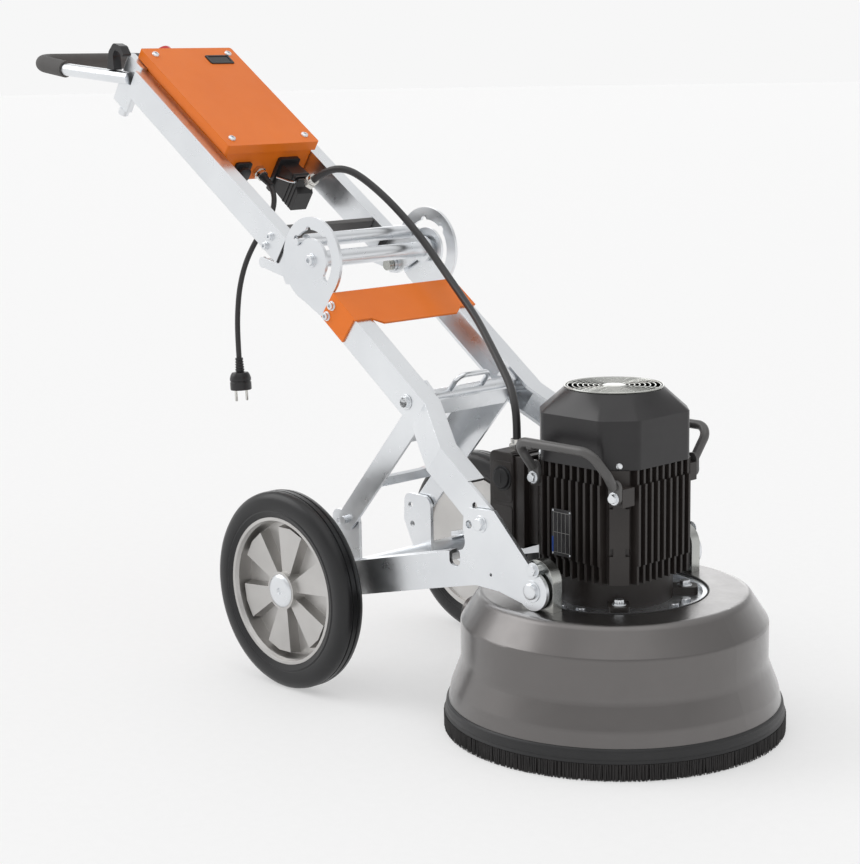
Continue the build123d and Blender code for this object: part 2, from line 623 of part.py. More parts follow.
FOOT_INNER, FOOT_OUTER = 157.0, 163.0
with BuildPart() as pivot_bolts:
    for side in SIDES.values():
        with BuildSketch(side_plane(side, BRACKET_INNER, PLATE_OUTER)):
            with Locations((PIVOT_X, PIVOT_Z)):
                Circle(PIVOT_BOLT_RADIUS)
        extrude(amount=PLATE_OUTER - BRACKET_INNER)
        with BuildSketch(side_plane(side, BRACKET_OUTER + 0.3, PLATE_INNER)):
            with Locations((PIVOT_X, PIVOT_Z)):
                Circle(15)
        extrude(amount=PLATE_INNER - BRACKET_OUTER - 0.3)
        with BuildSketch(side_plane(side, PLATE_OUTER, PLATE_OUTER + 8)):
            with Locations((PIVOT_X, PIVOT_Z)):
                RegularPolygon(12.5, 6)
        extrude(amount=8)
        with BuildSketch(side_plane(side, FOOT_INNER - 8, PLATE_OUTER)):
            with Locations((FRAME_PIVOT_X, FRAME_PIVOT_Z)):
                Circle(BOLT_RADIUS)
        extrude(amount=PLATE_OUTER - FOOT_INNER + 8)
        with BuildSketch(side_plane(side, FOOT_INNER - 8, FOOT_INNER - 0.3)):
            with Locations((FRAME_PIVOT_X, FRAME_PIVOT_Z)):
                RegularPolygon(11, 6)
        extrude(amount=7.7)
        with BuildSketch(side_plane(side, FOOT_OUTER + 0.3, PLATE_INNER)):
            with Locations((FRAME_PIVOT_X, FRAME_PIVOT_Z)):
                Circle(10)
        extrude(amount=PLATE_INNER - FOOT_OUTER - 0.3)
        with BuildSketch(side_plane(side, PLATE_OUTER, PLATE_OUTER + 7)):
            with Locations((FRAME_PIVOT_X, FRAME_PIVOT_Z)):
                RegularPolygon(9.5, 6)
        extrude(amount=7)
pivot_bolts.part.label = "pivot_bolts"
export_step(pivot_bolts.part, "parts/pivot_bolts.step")

# ---------------------------------------------------------------- wheels

for name, side in SIDES.items():
    outward = Plane(origin=(AXLE_X, 0, AXLE_Z), x_dir=(1, 0, 0), z_dir=(0, side, 0))
    spin_axis = Axis((AXLE_X, 0, AXLE_Z), (0, side, 0))
    with BuildPart() as wheel:
        with BuildSketch(Plane(origin=(AXLE_X, 0, AXLE_Z), x_dir=(1, 0, 0), z_dir=(0, 0, 1))):
            with BuildLine():
                bore = AXLE_RADIUS + RUN_FIT
                Polyline((bore, side * WHEEL_INNER), (HUB_RADIUS, side * WHEEL_INNER),
                         (HUB_RADIUS, side * 199), (RIM_RADIUS - RIM_WALL, side * 196),
                         (RIM_RADIUS - RIM_WALL, side * (WHEEL_INNER + 2)),
                         (RIM_RADIUS, side * (WHEEL_INNER + 2)), (RIM_RADIUS, side * 232),
                         (RIM_RADIUS - 5, side * 232), (RIM_RADIUS - RIM_WALL, side * 226),
                         (RIM_RADIUS - RIM_WALL - 2, side * 203), (HUB_RADIUS, side * 206),
                         (HUB_RADIUS, side * HUB_CAP_BACK), (bore, side * HUB_CAP_BACK), close=True)
            make_face()
        revolve(axis=spin_axis)
        with BuildSketch(outward.offset(SPOKE_BACK)):
            with PolarLocations(0, SPOKE_COUNT, -SPOKE_PHASE * side):
                Polygon((HUB_RADIUS - 8, -11), (HUB_RADIUS - 8, 11), (98, 31), (104, 0), (98, -31),
                        align=None)
            Circle(HUB_RADIUS - 8, mode=Mode.SUBTRACT)
        extrude(amount=SPOKE_FACE - SPOKE_BACK, taper=SPOKE_DRAFT)
    wheel.part.label = f"wheel_{name}"
    export_step(wheel.part, f"parts/wheel_{name}.step")

    with BuildPart() as tyre:
        with BuildSketch(Plane(origin=(AXLE_X, 0, AXLE_Z), x_dir=(1, 0, 0), z_dir=(0, 0, 1))):
            with BuildLine():
                FilletPolyline(
                    (RIM_RADIUS, side * (WHEEL_INNER + 2)), (RIM_RADIUS + 14, side * WHEEL_INNER),
                    (WHEEL_RADIUS - 4, side * (WHEEL_INNER + 1)),
                    (WHEEL_RADIUS, side * (WHEEL_INNER + 10)),
                    (WHEEL_RADIUS, side * (WHEEL_OUTER - 10)),
                    (WHEEL_RADIUS - 4, side * (WHEEL_OUTER - 1)),
                    (RIM_RADIUS + 14, side * WHEEL_OUTER), (RIM_RADIUS, side * (WHEEL_OUTER - 3.7)),
                    radius=[10, 4, 4, 4, 4, 10])
                Line((RIM_RADIUS, side * (WHEEL_OUTER - 3.7)), (RIM_RADIUS, side * (WHEEL_INNER + 2)))
            make_face()
        revolve(axis=spin_axis)
    tyre.part.label = f"tyre_{name}"
    export_step(tyre.part, f"parts/tyre_{name}.step")

    with BuildPart() as hub_cap:
        with BuildSketch(outward.offset(HUB_CAP_BACK)):
            Circle(HUB_CAP_RADIUS)
        extrude(amount=WHEEL_OUTER - HUB_CAP_BACK - 1)
        fillet(hub_cap.faces().sort_by(spin_axis)[-1].edges(), radius=3)
    hub_cap.part.label = f"hub_cap_{name}"
    export_step(hub_cap.part, f"parts/hub_cap_{name}.step")

# ---------------------------------------------------------------- lower frame

FLANGE_START, KNEE, ANKLE, RAIL_END = -155.0, 96.3, 183.5, 254.0
RAIL_SHEET = 5.0
for name, side in SIDES.items():
    outer, inner, foot = side * RAIL_OUTER, side * RAIL_INNER, side * FOOT_OUTER
    web = side * (RAIL_OUTER - RAIL_SHEET)
    foot_web = side * (FOOT_OUTER - RAIL_SHEET)
    foot_inner = side * (FOOT_OUTER - 33)
    with BuildPart() as frame_rail:
        with BuildSketch(rail_plane(0)):
            with BuildLine():
                Polyline((FLANGE_START, outer), (KNEE, outer), (ANKLE, foot), (RAIL_END, foot),
                         (RAIL_END, foot_inner), (ANKLE, foot_inner), (KNEE, inner),
                         (FLANGE_START, inner), close=True)
            make_face()
        extrude(amount=-RAIL_SHEET)
        with BuildSketch(rail_plane(RAIL_SHEET - RAIL_DEPTH)):
            with BuildLine():
                Polyline((FLANGE_START + 30, outer), (KNEE, outer), (ANKLE, foot), (RAIL_END, foot),
                         (RAIL_END, foot_inner), (ANKLE, foot_inner), (KNEE, inner),
                         (FLANGE_START + 30, inner), close=True)
            make_face()
        extrude(amount=-RAIL_SHEET)
        with BuildSketch(rail_plane(0)):
            with BuildLine():
                Polyline((FLANGE_START - 20, outer), (KNEE, outer), (ANKLE, foot), (RAIL_END, foot),
                         (RAIL_END, foot_web), (ANKLE, foot_web), (KNEE, web),
                         (FLANGE_START - 20, web), close=True)
            make_face()
        extrude(amount=-RAIL_DEPTH)
        with BuildSketch(side_plane(side, RAIL_OUTER - RAIL_SHEET, RAIL_OUTER)):
            with Locations((HINGE_X, HINGE_Z)):
                Circle(DISC_OUTER_RADIUS)
            with BuildLine():
                Polyline(polar(HINGE_X, HINGE_Z, DISC_OUTER_RADIUS, 58),
                         rail_point(FLANGE_START + 2, 0), rail_point(FLANGE_START + 2, -RAIL_DEPTH),
                         polar(HINGE_X, HINGE_Z, DISC_OUTER_RADIUS, 232), (HINGE_X, HINGE_Z),
                         close=True)
            make_face()
            with Locations((HINGE_X, HINGE_Z)):
                Circle(PIVOT_BOLT_RADIUS, mode=Mode.SUBTRACT)
        extrude(amount=RAIL_SHEET)
        with BuildSketch(side_plane(side, RAIL_OUTER - RAIL_SHEET, RAIL_OUTER)):
            with BuildLine():
                CenterArc((HINGE_X, HINGE_Z), LOCK_ARC, -36, LOCK_REST_ANGLE + 36)
                offset(amount=LOCK_BAR_RADIUS + 1, side=Side.BOTH, mode=Mode.REPLACE)
            make_face()
            with Locations(*[polar(HINGE_X, HINGE_Z, LOCK_ARC + 5, turn) for turn in NOTCH_ANGLES]):
                Circle(LOCK_BAR_RADIUS + 1)
        extrude(amount=RAIL_SHEET, mode=Mode.SUBTRACT)
        with BuildSketch(side_plane(side, RAIL_OUTER - RAIL_SHEET, RAIL_OUTER)):
            with Locations((TUBE_X, TUBE_Z)):
                Circle(BOLT_RADIUS + RUN_FIT)
        extrude(amount=RAIL_SHEET, mode=Mode.SUBTRACT)
        with BuildSketch(side_plane(side, FOOT_INNER, FOOT_OUTER)):
            with BuildLine():
                FilletPolyline(rail_point(RAIL_END - 20, -1), (-100, 343), (-82, 330),
                               (-88, 296), (-120, 297), rail_point(RAIL_END - 10, -RAIL_DEPTH),
                               close=True, radius=[0.5, 10, 12, 14, 12, 0.5])
            make_face()
            with Locations((FRAME_PIVOT_X, FRAME_PIVOT_Z)):
                Circle(BOLT_RADIUS + RUN_FIT, mode=Mode.SUBTRACT)
            with Locations((-120.6, 334.6)):
                Circle(5, mode=Mode.SUBTRACT)
        extrude(amount=FOOT_OUTER - FOOT_INNER)
    frame_rail.part.label = f"frame_rail_{name}"
    export_step(frame_rail.part, f"parts/frame_rail_{name}.step")

PLATE_REAR, PLATE_FRONT, PLATE_SHEET = -152.0, -88.0, 3.0
with BuildPart() as cross_plate:
    with BuildSketch(rail_plane(0)):
        with BuildLine():
            wide = RAIL_OUTER + PLATE_SHEET
            Polyline((PLATE_REAR, -wide), (PLATE_FRONT, -wide), (PLATE_FRONT, -96),
                     (PLATE_FRONT + 13, -78), (PLATE_FRONT + 13, 78), (PLATE_FRONT, 96),
                     (PLATE_FRONT, wide), (PLATE_REAR, wide), close=True)
        make_face()
    extrude(amount=PLATE_SHEET)
    with BuildSketch(rail_plane(0)):
        with GridLocations(0, 2 * (RAIL_OUTER + PLATE_SHEET / 2), 1, 2):
            with Locations(((PLATE_REAR + PLATE_FRONT - 4) / 2, 0)):
                Rectangle(PLATE_FRONT - PLATE_REAR - 4, PLATE_SHEET)
    extrude(amount=-RAIL_DEPTH + 2)
cross_plate.part.label = "cross_plate"
export_step(cross_plate.part, "parts/cross_plate.step")

LINK_OUTER, LINK_INNER = 115.0, 109.0
with BuildPart() as hinge_tube:
    with BuildSketch(at_y(RAIL_OUTER)):
        with Locations((HINGE_X, HINGE_Z)):
            Circle(PIVOT_BOLT_RADIUS)
    extrude(amount=2 * RAIL_OUTER)
    with BuildSketch(at_y(LINK_INNER - TOUCH_GAP)):
        with Locations((HINGE_X, HINGE_Z)):
            Circle(13)
    extrude(amount=2 * (LINK_INNER - TOUCH_GAP))
    for side in SIDES.values():
        with BuildSketch(side_plane(side, LINK_OUTER + TOUCH_GAP, RAIL_OUTER - RAIL_SHEET)):
            with Locations((HINGE_X, HINGE_Z)):
                Circle(14)
        extrude(amount=RAIL_OUTER - RAIL_SHEET - LINK_OUTER - TOUCH_GAP)
hinge_tube.part.label = "hinge_tube"
export_step(hinge_tube.part, "parts/hinge_tube.step")

with BuildPart() as frame_fasteners:
    for side in SIDES.values():
        with BuildSketch(side_plane(side, RAIL_OUTER, RAIL_OUTER + 7)):
            with Locations((HINGE_X, HINGE_Z)):
                RegularPolygon(10, 6)
        extrude(amount=7)
        with BuildSketch(side_plane(side, RAIL_OUTER + PLATE_SHEET, RAIL_OUTER + PLATE_SHEET + 6)):
            with Locations(rail_point(PLATE_REAR + 10, -15), rail_point(PLATE_REAR + 10, -36)):
                Circle(7.5)
        extrude(amount=6)
frame_fasteners.part.label = "frame_fasteners"
export_step(frame_fasteners.part, "parts/frame_fasteners.step")

LOOP_ANGLE, LOOP_REACH, LOOP_ROD = 50.0, 42.0, 4.0
LOOP_RIGHT, LOOP_LEFT = -42.0, 26.0
with BuildPart() as latch_tube:
    with BuildSketch(at_y(RAIL_OUTER - RAIL_SHEET - TOUCH_GAP)):
        with Locations((TUBE_X, TUBE_Z)):
            Circle(TUBE_RADIUS)
    extrude(amount=2 * (RAIL_OUTER - RAIL_SHEET - TOUCH_GAP))
    with BuildSketch(at_y(RAIL_OUTER + TOUCH_GAP)):
        with Locations((TUBE_X, TUBE_Z)):
            Circle(BOLT_RADIUS)
    extrude(amount=2 * (RAIL_OUTER + TOUCH_GAP))
    for side in SIDES.values():
        with BuildSketch(side_plane(side, RAIL_OUTER + TOUCH_GAP, RAIL_OUTER + 6)):
            with Locations((TUBE_X, TUBE_Z)):
                RegularPolygon(9.5, 6)
        extrude(amount=6 - TOUCH_GAP)
    loop_base = polar(TUBE_X, TUBE_Z, TUBE_RADIUS - 3, LOOP_ANGLE)
    loop_tip = polar(TUBE_X, TUBE_Z, LOOP_REACH, LOOP_ANGLE)
    with BuildLine() as loop_path:
        FilletPolyline((loop_base[0], LOOP_RIGHT, loop_base[1]), (loop_tip[0], LOOP_RIGHT, loop_tip[1]),
                       (loop_tip[0], LOOP_LEFT, loop_tip[1]), (loop_base[0], LOOP_LEFT, loop_base[1]),
                       radius=[14, 14])
    with BuildSketch(loop_path.line ^ 0):
        Circle(LOOP_ROD)
    sweep()
latch_tube.part.label = "latch_tube"
export_step(latch_tube.part, "parts/latch_tube.step")

BRACE_INNER, BRACE_OUTER, BRACE_WIDTH = 83.5, 88.5, 35.0
brace_run, brace_rise = TUBE_X - BRACE_PIVOT_X, TUBE_Z - BRACE_PIVOT_Z
BRACE_LENGTH = sqrt(brace_run ** 2 + brace_rise ** 2)
brace_cos, brace_sin = brace_run / BRACE_LENGTH, brace_rise / BRACE_LENGTH


def brace_point(along, height):
    """X and Z of a point this far up the brace and this far above its centre line."""
    return (BRACE_PIVOT_X + brace_cos * along - brace_sin * height,
            BRACE_PIVOT_Z + brace_sin * along + brace_cos * height)


def brace_plane(height):
    """Plane along the brace, this far above its centre line; local y is +Y."""
    x, z = brace_point(0, height)
    return Plane(origin=(x, 0, z), x_dir=(brace_cos, 0, brace_sin), z_dir=(-brace_sin, 0, brace_cos))


WEB_BOTTOM, WEB_TOP = 52.0, BRACE_LENGTH - 42.0
HOOK_BACK, HOOK_UP, HOOK_TRAVEL, HOOK_PLAY = 0.70, 0.714, 60, 1.6
with BuildPart() as brace:
    for side in SIDES.values():
        with BuildSketch(side_plane(side, BRACE_INNER, BRACE_OUTER)):
            with BuildLine():
                half = BRACE_WIDTH / 2
                Polyline(brace_point(0, -half), brace_point(BRACE_LENGTH + 6, -half - 3),
                         brace_point(BRACE_LENGTH + 22, -half + 8), brace_point(BRACE_LENGTH + 22, half),
                         brace_point(BRACE_LENGTH + 6, half + 3), brace_point(BRACE_LENGTH - 30, half),
                         brace_point(0, half), close=True)
            make_face()
            with Locations((BRACE_PIVOT_X, BRACE_PIVOT_Z)):
                Circle(half)
                Circle(BOLT_RADIUS + RUN_FIT, mode=Mode.SUBTRACT)
            with Locations(*[brace_point(BRACE_LENGTH - HOOK_BACK * step, HOOK_UP * step)
                             for step in range(0, HOOK_TRAVEL, 4)]):
                Circle(TUBE_RADIUS + HOOK_PLAY, mode=Mode.SUBTRACT)
        extrude(amount=BRACE_OUTER - BRACE_INNER)
    with BuildSketch(brace_plane(half - 5)):
        with Locations(((WEB_BOTTOM + WEB_TOP) / 2, 0)):
            Rectangle(WEB_TOP - WEB_BOTTOM, 2 * BRACE_INNER)
        with Locations((WEB_BOTTOM + 66, 0)):
            RectangleRounded(84, 128, 30, mode=Mode.SUBTRACT)
        with Locations((WEB_TOP - 30, 0)):
            Trapezoid(36, 92, 90, rotation=90, mode=Mode.SUBTRACT)
    extrude(amount=5)
    with BuildSketch(brace_plane(-half - 2)):
        with Locations((BRACE_LENGTH - 2, 0)):
            Rectangle(36, 2 * BRACE_INNER)
    extrude(amount=3)
brace.part.label = "brace"
export_step(brace.part, "parts/brace.step")

# ---------------------------------------------------------------- upper frame

lock_bar_at = polar(HINGE_X, HINGE_Z, LOCK_ARC, LOCK_REST_ANGLE)
LEVER_X, LEVER_Z = -577.0, 630.0
for name, side in SIDES.items():
    middle = side * (UPPER_OUTER + UPPER_INNER) / 2
    tube_middle = upper_end(0).offset(-UPPER_LENGTH)
    with BuildPart() as upper_rail:
        with BuildSketch(tube_middle):
            with Locations((middle, -UPPER_DEPTH / 2)):
                Rectangle(UPPER_OUTER - UPPER_INNER, UPPER_DEPTH)
                Rectangle(UPPER_OUTER - UPPER_INNER - 2 * TUBE_WALL, UPPER_DEPTH - 2 * TUBE_WALL,
                          mode=Mode.SUBTRACT)
        extrude(amount=UPPER_LENGTH)
        with BuildSketch(side_plane(side, LINK_INNER, LINK_OUTER)):
            with BuildLine():
                Polyline(polar(HINGE_X, HINGE_Z, 21, 60), upper_point(6, -5), upper_point(80, -5),
                         upper_point(80, TUBE_WALL - UPPER_DEPTH + 2),
                         upper_point(4, TUBE_WALL - UPPER_DEPTH + 2), (LEVER_X - 10, LEVER_Z - 14),
                         (LEVER_X + 8, LEVER_Z - 14), polar(HINGE_X, HINGE_Z, 21, 235), close=True)
            make_face()
            with Locations((HINGE_X, HINGE_Z)):
                Circle(21)
                Circle(PIVOT_BOLT_RADIUS + RUN_FIT, mode=Mode.SUBTRACT)
            with Locations(lock_bar_at):
                Circle(LOCK_BAR_RADIUS, mode=Mode.SUBTRACT)
            with Locations((LEVER_X, LEVER_Z)):
                Circle(BOLT_RADIUS - 1 + RUN_FIT, mode=Mode.SUBTRACT)
        extrude(amount=LINK_OUTER - LINK_INNER)
    upper_rail.part.label = f"upper_rail_{name}"
    export_step(upper_rail.part, f"parts/upper_rail_{name}.step")

with BuildPart() as lock_bar:
    with BuildSketch(at_y(RAIL_OUTER + 5)):
        with Locations(lock_bar_at):
            Circle(LOCK_BAR_RADIUS)
    extrude(amount=2 * (RAIL_OUTER + 5))
    with BuildSketch(at_y(LINK_INNER)):
        with Locations(lock_bar_at):
            Circle(11)
    extrude(amount=2 * LINK_INNER)
lock_bar.part.label = "lock_bar"
export_step(lock_bar.part, "parts/lock_bar.step")

LEVER_TIP_X, LEVER_TIP_Z = -652.0, 646.0
LEVER_OUTER, LEVER_INNER = 108.4, 103.4
with BuildPart() as release_lever:
    for side in SIDES.values():
        with BuildSketch(side_plane(side, LEVER_INNER, LEVER_OUTER)):
            with BuildLine():
                Polyline((LEVER_X, LEVER_Z + 9), (LEVER_TIP_X, LEVER_TIP_Z + 8),
                         (LEVER_TIP_X, LEVER_TIP_Z - 8), (LEVER_X, LEVER_Z - 9), close=True)
            make_face()
            with Locations((LEVER_X, LEVER_Z)):
                Circle(11)
            with Locations((LEVER_TIP_X, LEVER_TIP_Z)):
                Circle(9)
        extrude(amount=LEVER_OUTER - LEVER_INNER)
        with BuildSketch(side_plane(side, LEVER_INNER, LINK_OUTER + TOUCH_GAP)):
            with Locations((LEVER_X, LEVER_Z)):
                Circle(BOLT_RADIUS - 1)
        extrude(amount=LINK_OUTER + TOUCH_GAP - LEVER_INNER)
        with BuildSketch(side_plane(side, LINK_OUTER + TOUCH_GAP, LINK_OUTER + 5)):
            with Locations((LEVER_X, LEVER_Z)):
                RegularPolygon(8.5, 6)
        extrude(amount=5 - TOUCH_GAP)
    with BuildSketch(at_y(LEVER_INNER)):
        with Locations((LEVER_TIP_X, LEVER_TIP_Z)):
            Circle(6)
    extrude(amount=2 * LEVER_INNER)
release_lever.part.label = "release_lever"
export_step(release_lever.part, "parts/release_lever.step")

# ---------------------------------------------------------------- control box

BOX_WALL = 2.5
END_FACE = upper_end(BOX_REAR)
ESTOP_AT, ESTOP_STEM, ESTOP_RADIUS = (-22, -9), 8.0, 20.0
START_AT, START_RADIUS = (28, -14), 11.0
KNOB_AT, KNOB_RADIUS = (64, -20), 14.0
BUTTON_GAP = 0.4
LID_SCREW_INSET = 19.5
box_middle, box_length = (BOX_FRONT + BOX_REAR) / 2, BOX_REAR - BOX_FRONT
lid_middle, lid_length = (LID_FRONT + LID_REAR) / 2, LID_REAR - LID_FRONT
with BuildPart() as control_box:
    with BuildSketch(upper_plane(-BOX_DEPTH)):
        with Locations((box_middle, 0)):
            RectangleRounded(box_length, 2 * BOX_HALF, 3)
    extrude(amount=BOX_DEPTH + LID_HIGH - TUBE_WALL)
    with BuildSketch(upper_plane(BOX_WALL - BOX_DEPTH)):
        with Locations((box_middle, 0)):
            Rectangle(box_length - 2 * BOX_WALL, 2 * (BOX_HALF - BOX_WALL))
    extrude(amount=BOX_DEPTH + LID_HIGH, mode=Mode.SUBTRACT)
    with BuildSketch(END_FACE):
        with Locations(ESTOP_AT):
            Circle(ESTOP_STEM + BUTTON_GAP)
        with Locations(START_AT):
            Circle(START_RADIUS + BUTTON_GAP)
    extrude(amount=2 * BOX_WALL, both=True, mode=Mode.SUBTRACT)
control_box.part.label = "control_box"
export_step(control_box.part, "parts/control_box.step")

WINDOW_NEAR, WINDOW_LENGTH, WINDOW_Y, WINDOW_WIDTH = 26.0, 22.0, 48.0, 52.0
window_at = (LID_REAR - WINDOW_NEAR - WINDOW_LENGTH / 2, -WINDOW_Y)
with BuildPart() as control_lid:
    with BuildSketch(upper_plane(LID_LOW)):
        with Locations((lid_middle, 0)):
            RectangleRounded(lid_length, 2 * LID_HALF, 4)
    extrude(amount=LID_HIGH - LID_LOW)
    with BuildSketch(upper_plane(LID_LOW)):
        with Locations((lid_middle, 0)):
            Rectangle(lid_length - 2 * TUBE_WALL, 2 * (LID_HALF - TUBE_WALL))
    extrude(amount=LID_HIGH - TUBE_WALL - LID_LOW, mode=Mode.SUBTRACT)
    with BuildSketch(upper_plane(LID_HIGH)):
        with Locations(window_at):
            Rectangle(WINDOW_LENGTH, WINDOW_WIDTH)
    extrude(amount=-2, mode=Mode.SUBTRACT)
control_lid.part.label = "control_lid"
export_step(control_lid.part, "parts/control_lid.step")

with BuildPart() as display_window:
    with BuildSketch(upper_plane(LID_HIGH - 2)):
        with Locations(window_at):
            Rectangle(WINDOW_LENGTH, WINDOW_WIDTH)
    extrude(amount=2.6)
display_window.part.label = "display_window"
export_step(display_window.part, "parts/display_window.step")

with BuildPart() as upper_fasteners:
    with BuildSketch(upper_plane(LID_HIGH)):
        with Locations((lid_middle, 0)):
            with GridLocations(lid_length - 2 * LID_SCREW_INSET, 2 * 77.7, 2, 2):
                Circle(6.5)
    extrude(amount=4.5)
    for side in SIDES.values():
        with BuildSketch(side_plane(side, UPPER_OUTER, UPPER_OUTER + 6)):
            with Locations(upper_point(32, -20), upper_point(34, -40)):
                RegularPolygon(7.5, 6)
        extrude(amount=6)
upper_fasteners.part.label = "upper_fasteners"
export_step(upper_fasteners.part, "parts/upper_fasteners.step")

BRACKET_LOW, BRACKET_HIGH = -85.0, 5.0
BRACKET_REAR, BRACKET_THICK = UPPER_LENGTH + 45.0, 14.0
BUFFER_RADIUS, BUFFER_LENGTH = 9.0, 12.0
with BuildPart() as handle_brackets:
    for side in SIDES.values():
        with BuildSketch(upper_plane(BRACKET_LOW)):
            with Locations(((UPPER_LENGTH + BRACKET_REAR) / 2, side * (UPPER_INNER + BRACKET_THICK / 2))):
                RectangleRounded(BRACKET_REAR - UPPER_LENGTH, BRACKET_THICK, 3)
        extrude(amount=BRACKET_HIGH - BRACKET_LOW)
        with BuildSketch(upper_plane(BRACKET_LOW - BUFFER_LENGTH)):
            with Locations((UPPER_LENGTH + 14, side * (UPPER_INNER + BRACKET_THICK / 2))):
                Circle(BUFFER_RADIUS)
        extrude(amount=BUFFER_LENGTH)
handle_brackets.part.label = "handle_brackets"
export_step(handle_brackets.part, "parts/handle_brackets.step")

BAR_REAR_X, BAR_REAR_Z, LEG_Y = -1262.0, 969.0, 122.0
BAR_START = (-982.0, 938.9)
BAR_START_Y = UPPER_INNER + BRACKET_THICK + GRIP_BAR_RADIUS - 1
LEG_END = (-1162.0, 955.0)
with BuildPart() as handle_bar:
    with BuildLine() as bar_path:
        FilletPolyline((BAR_START[0], -BAR_START_Y, BAR_START[1]), (LEG_END[0], -LEG_Y, LEG_END[1]),
                       (BAR_REAR_X, -LEG_Y, BAR_REAR_Z), (BAR_REAR_X, LEG_Y, BAR_REAR_Z),
                       (LEG_END[0], LEG_Y, LEG_END[1]), (BAR_START[0], BAR_START_Y, BAR_START[1]),
                       radius=[60, 38, 38, 60])
    with BuildSketch(bar_path.line ^ 0):
        Circle(GRIP_BAR_RADIUS)
    sweep()
handle_bar.part.label = "handle_bar"
export_step(handle_bar.part, "parts/handle_bar.step")

with BuildPart() as hand_grip:
    with BuildLine() as grip_path:
        FilletPolyline((LEG_END[0] - 5, -LEG_Y, LEG_END[1] + 0.7), (BAR_REAR_X, -LEG_Y, BAR_REAR_Z),
                       (BAR_REAR_X, LEG_Y, BAR_REAR_Z), (LEG_END[0] - 5, LEG_Y, LEG_END[1] + 0.7),
                       radius=[38, 38])
    with BuildSketch(grip_path.line ^ 0):
        Circle(GRIP_RADIUS)
        Circle(GRIP_BAR_RADIUS + 0.3, mode=Mode.SUBTRACT)
    sweep()
hand_grip.part.label = "hand_grip"
export_step(hand_grip.part, "parts/hand_grip.step")

HOOK_INNER, HOOK_OUTER = 110.0, 126.0
with BuildPart() as cable_hook:
    with BuildSketch(side_plane(-1, HOOK_INNER, HOOK_OUTER)):
        with BuildLine():
            FilletPolyline((-1015, 953.4), (-1036, 955.4), (-1029, 985), (-1014, 999), (-995, 993),
                           (-985, 978), (-991, 975), (-1000, 984), (-1011, 987), (-1017, 979),
                           close=True, radius=[0.5, 0.5, 9, 9, 9, 2, 2, 6, 6, 6])
        make_face()
    extrude(amount=HOOK_OUTER - HOOK_INNER)
cable_hook.part.label = "cable_hook"
export_step(cable_hook.part, "parts/cable_hook.step")

# ---------------------------------------------------------------- controls, connector and glands

with BuildPart() as estop_button:
    with BuildSketch(END_FACE):
        with Locations(ESTOP_AT):
            Circle(ESTOP_STEM)
    extrude(amount=-14)
    with BuildSketch(END_FACE.offset(-14)):
        with Locations(ESTOP_AT):
            Circle(ESTOP_RADIUS)
    extrude(amount=-16)
estop_button.part.label = "estop_button"
export_step(estop_button.part, "parts/estop_button.step")

with BuildPart() as start_button:
    with BuildSketch(END_FACE):
        with Locations(START_AT):
            Circle(START_RADIUS)
    extrude(amount=-12)
start_button.part.label = "start_button"
export_step(start_button.part, "parts/start_button.step")

with BuildPart() as speed_knob:
    with BuildSketch(END_FACE.offset(-BUTTON_GAP)):
        with Locations(KNOB_AT):
            Circle(KNOB_RADIUS)
    extrude(amount=-18)
    with BuildSketch(END_FACE.offset(-BUTTON_GAP - 18)):
        with Locations(KNOB_AT):
            Rectangle(5, 26)
    extrude(amount=-4)
speed_knob.part.label = "speed_knob"
export_step(speed_knob.part, "parts/speed_knob.step")

CONNECTOR_Y = 45.0
HOOD_BACK, HOOD_FRONT, HOOD_TOP, HOOD_BOTTOM = BOX_FRONT, 150.0, -12.0, -68.0
hood_corner = upper_point(HOOD_FRONT + 15, HOOD_TOP)
gland_dir = Vector(0.87, 0.12, 0.46)
with BuildPart() as motor_connector:
    with BuildSketch(at_y(CONNECTOR_Y + 17)):
        with BuildLine():
            Polyline(upper_point(HOOD_BACK, HOOD_TOP - 4), upper_point(HOOD_FRONT + 24, HOOD_TOP),
                     upper_point(HOOD_FRONT, HOOD_TOP - 22), upper_point(HOOD_FRONT, HOOD_BOTTOM),
                     upper_point(HOOD_BACK, HOOD_BOTTOM + 4), close=True)
        make_face()
    extrude(amount=34)
motor_connector.part.label = "motor_connector"
export_step(motor_connector.part, "parts/motor_connector.step")


GLAND_LENGTH = 16.0
MOTOR_CABLE_RADIUS, POWER_LEAD_RADIUS = 6.0, 4.5
hood_gland_base = Vector(hood_corner[0] + 9, CONNECTOR_Y, hood_corner[1] - 9)
hood_gland = Plane(origin=hood_gland_base, z_dir=gland_dir)
hood_gland_tip = hood_gland_base + gland_dir.normalized() * GLAND_LENGTH
LEAD_Y, LEAD_HEIGHT = -10.0, -33.5
lead_x, lead_z = upper_point(BOX_FRONT, LEAD_HEIGHT)
lead_gland = Plane(origin=(lead_x, LEAD_Y, lead_z), x_dir=(0, 1, 0), z_dir=(upper_cos, 0, -upper_sin))
lead_tip = lead_gland.origin + lead_gland.z_dir * GLAND_LENGTH
with BuildPart() as control_glands:
    for seat in (hood_gland, lead_gland):
        with BuildSketch(seat):
            RegularPolygon(12, 6)
        extrude(amount=GLAND_LENGTH / 2)
        with BuildSketch(seat.offset(GLAND_LENGTH / 2)):
            Circle(9.5)
        extrude(amount=GLAND_LENGTH / 2)
control_glands.part.label = "control_glands"
export_step(control_glands.part, "parts/control_glands.step")

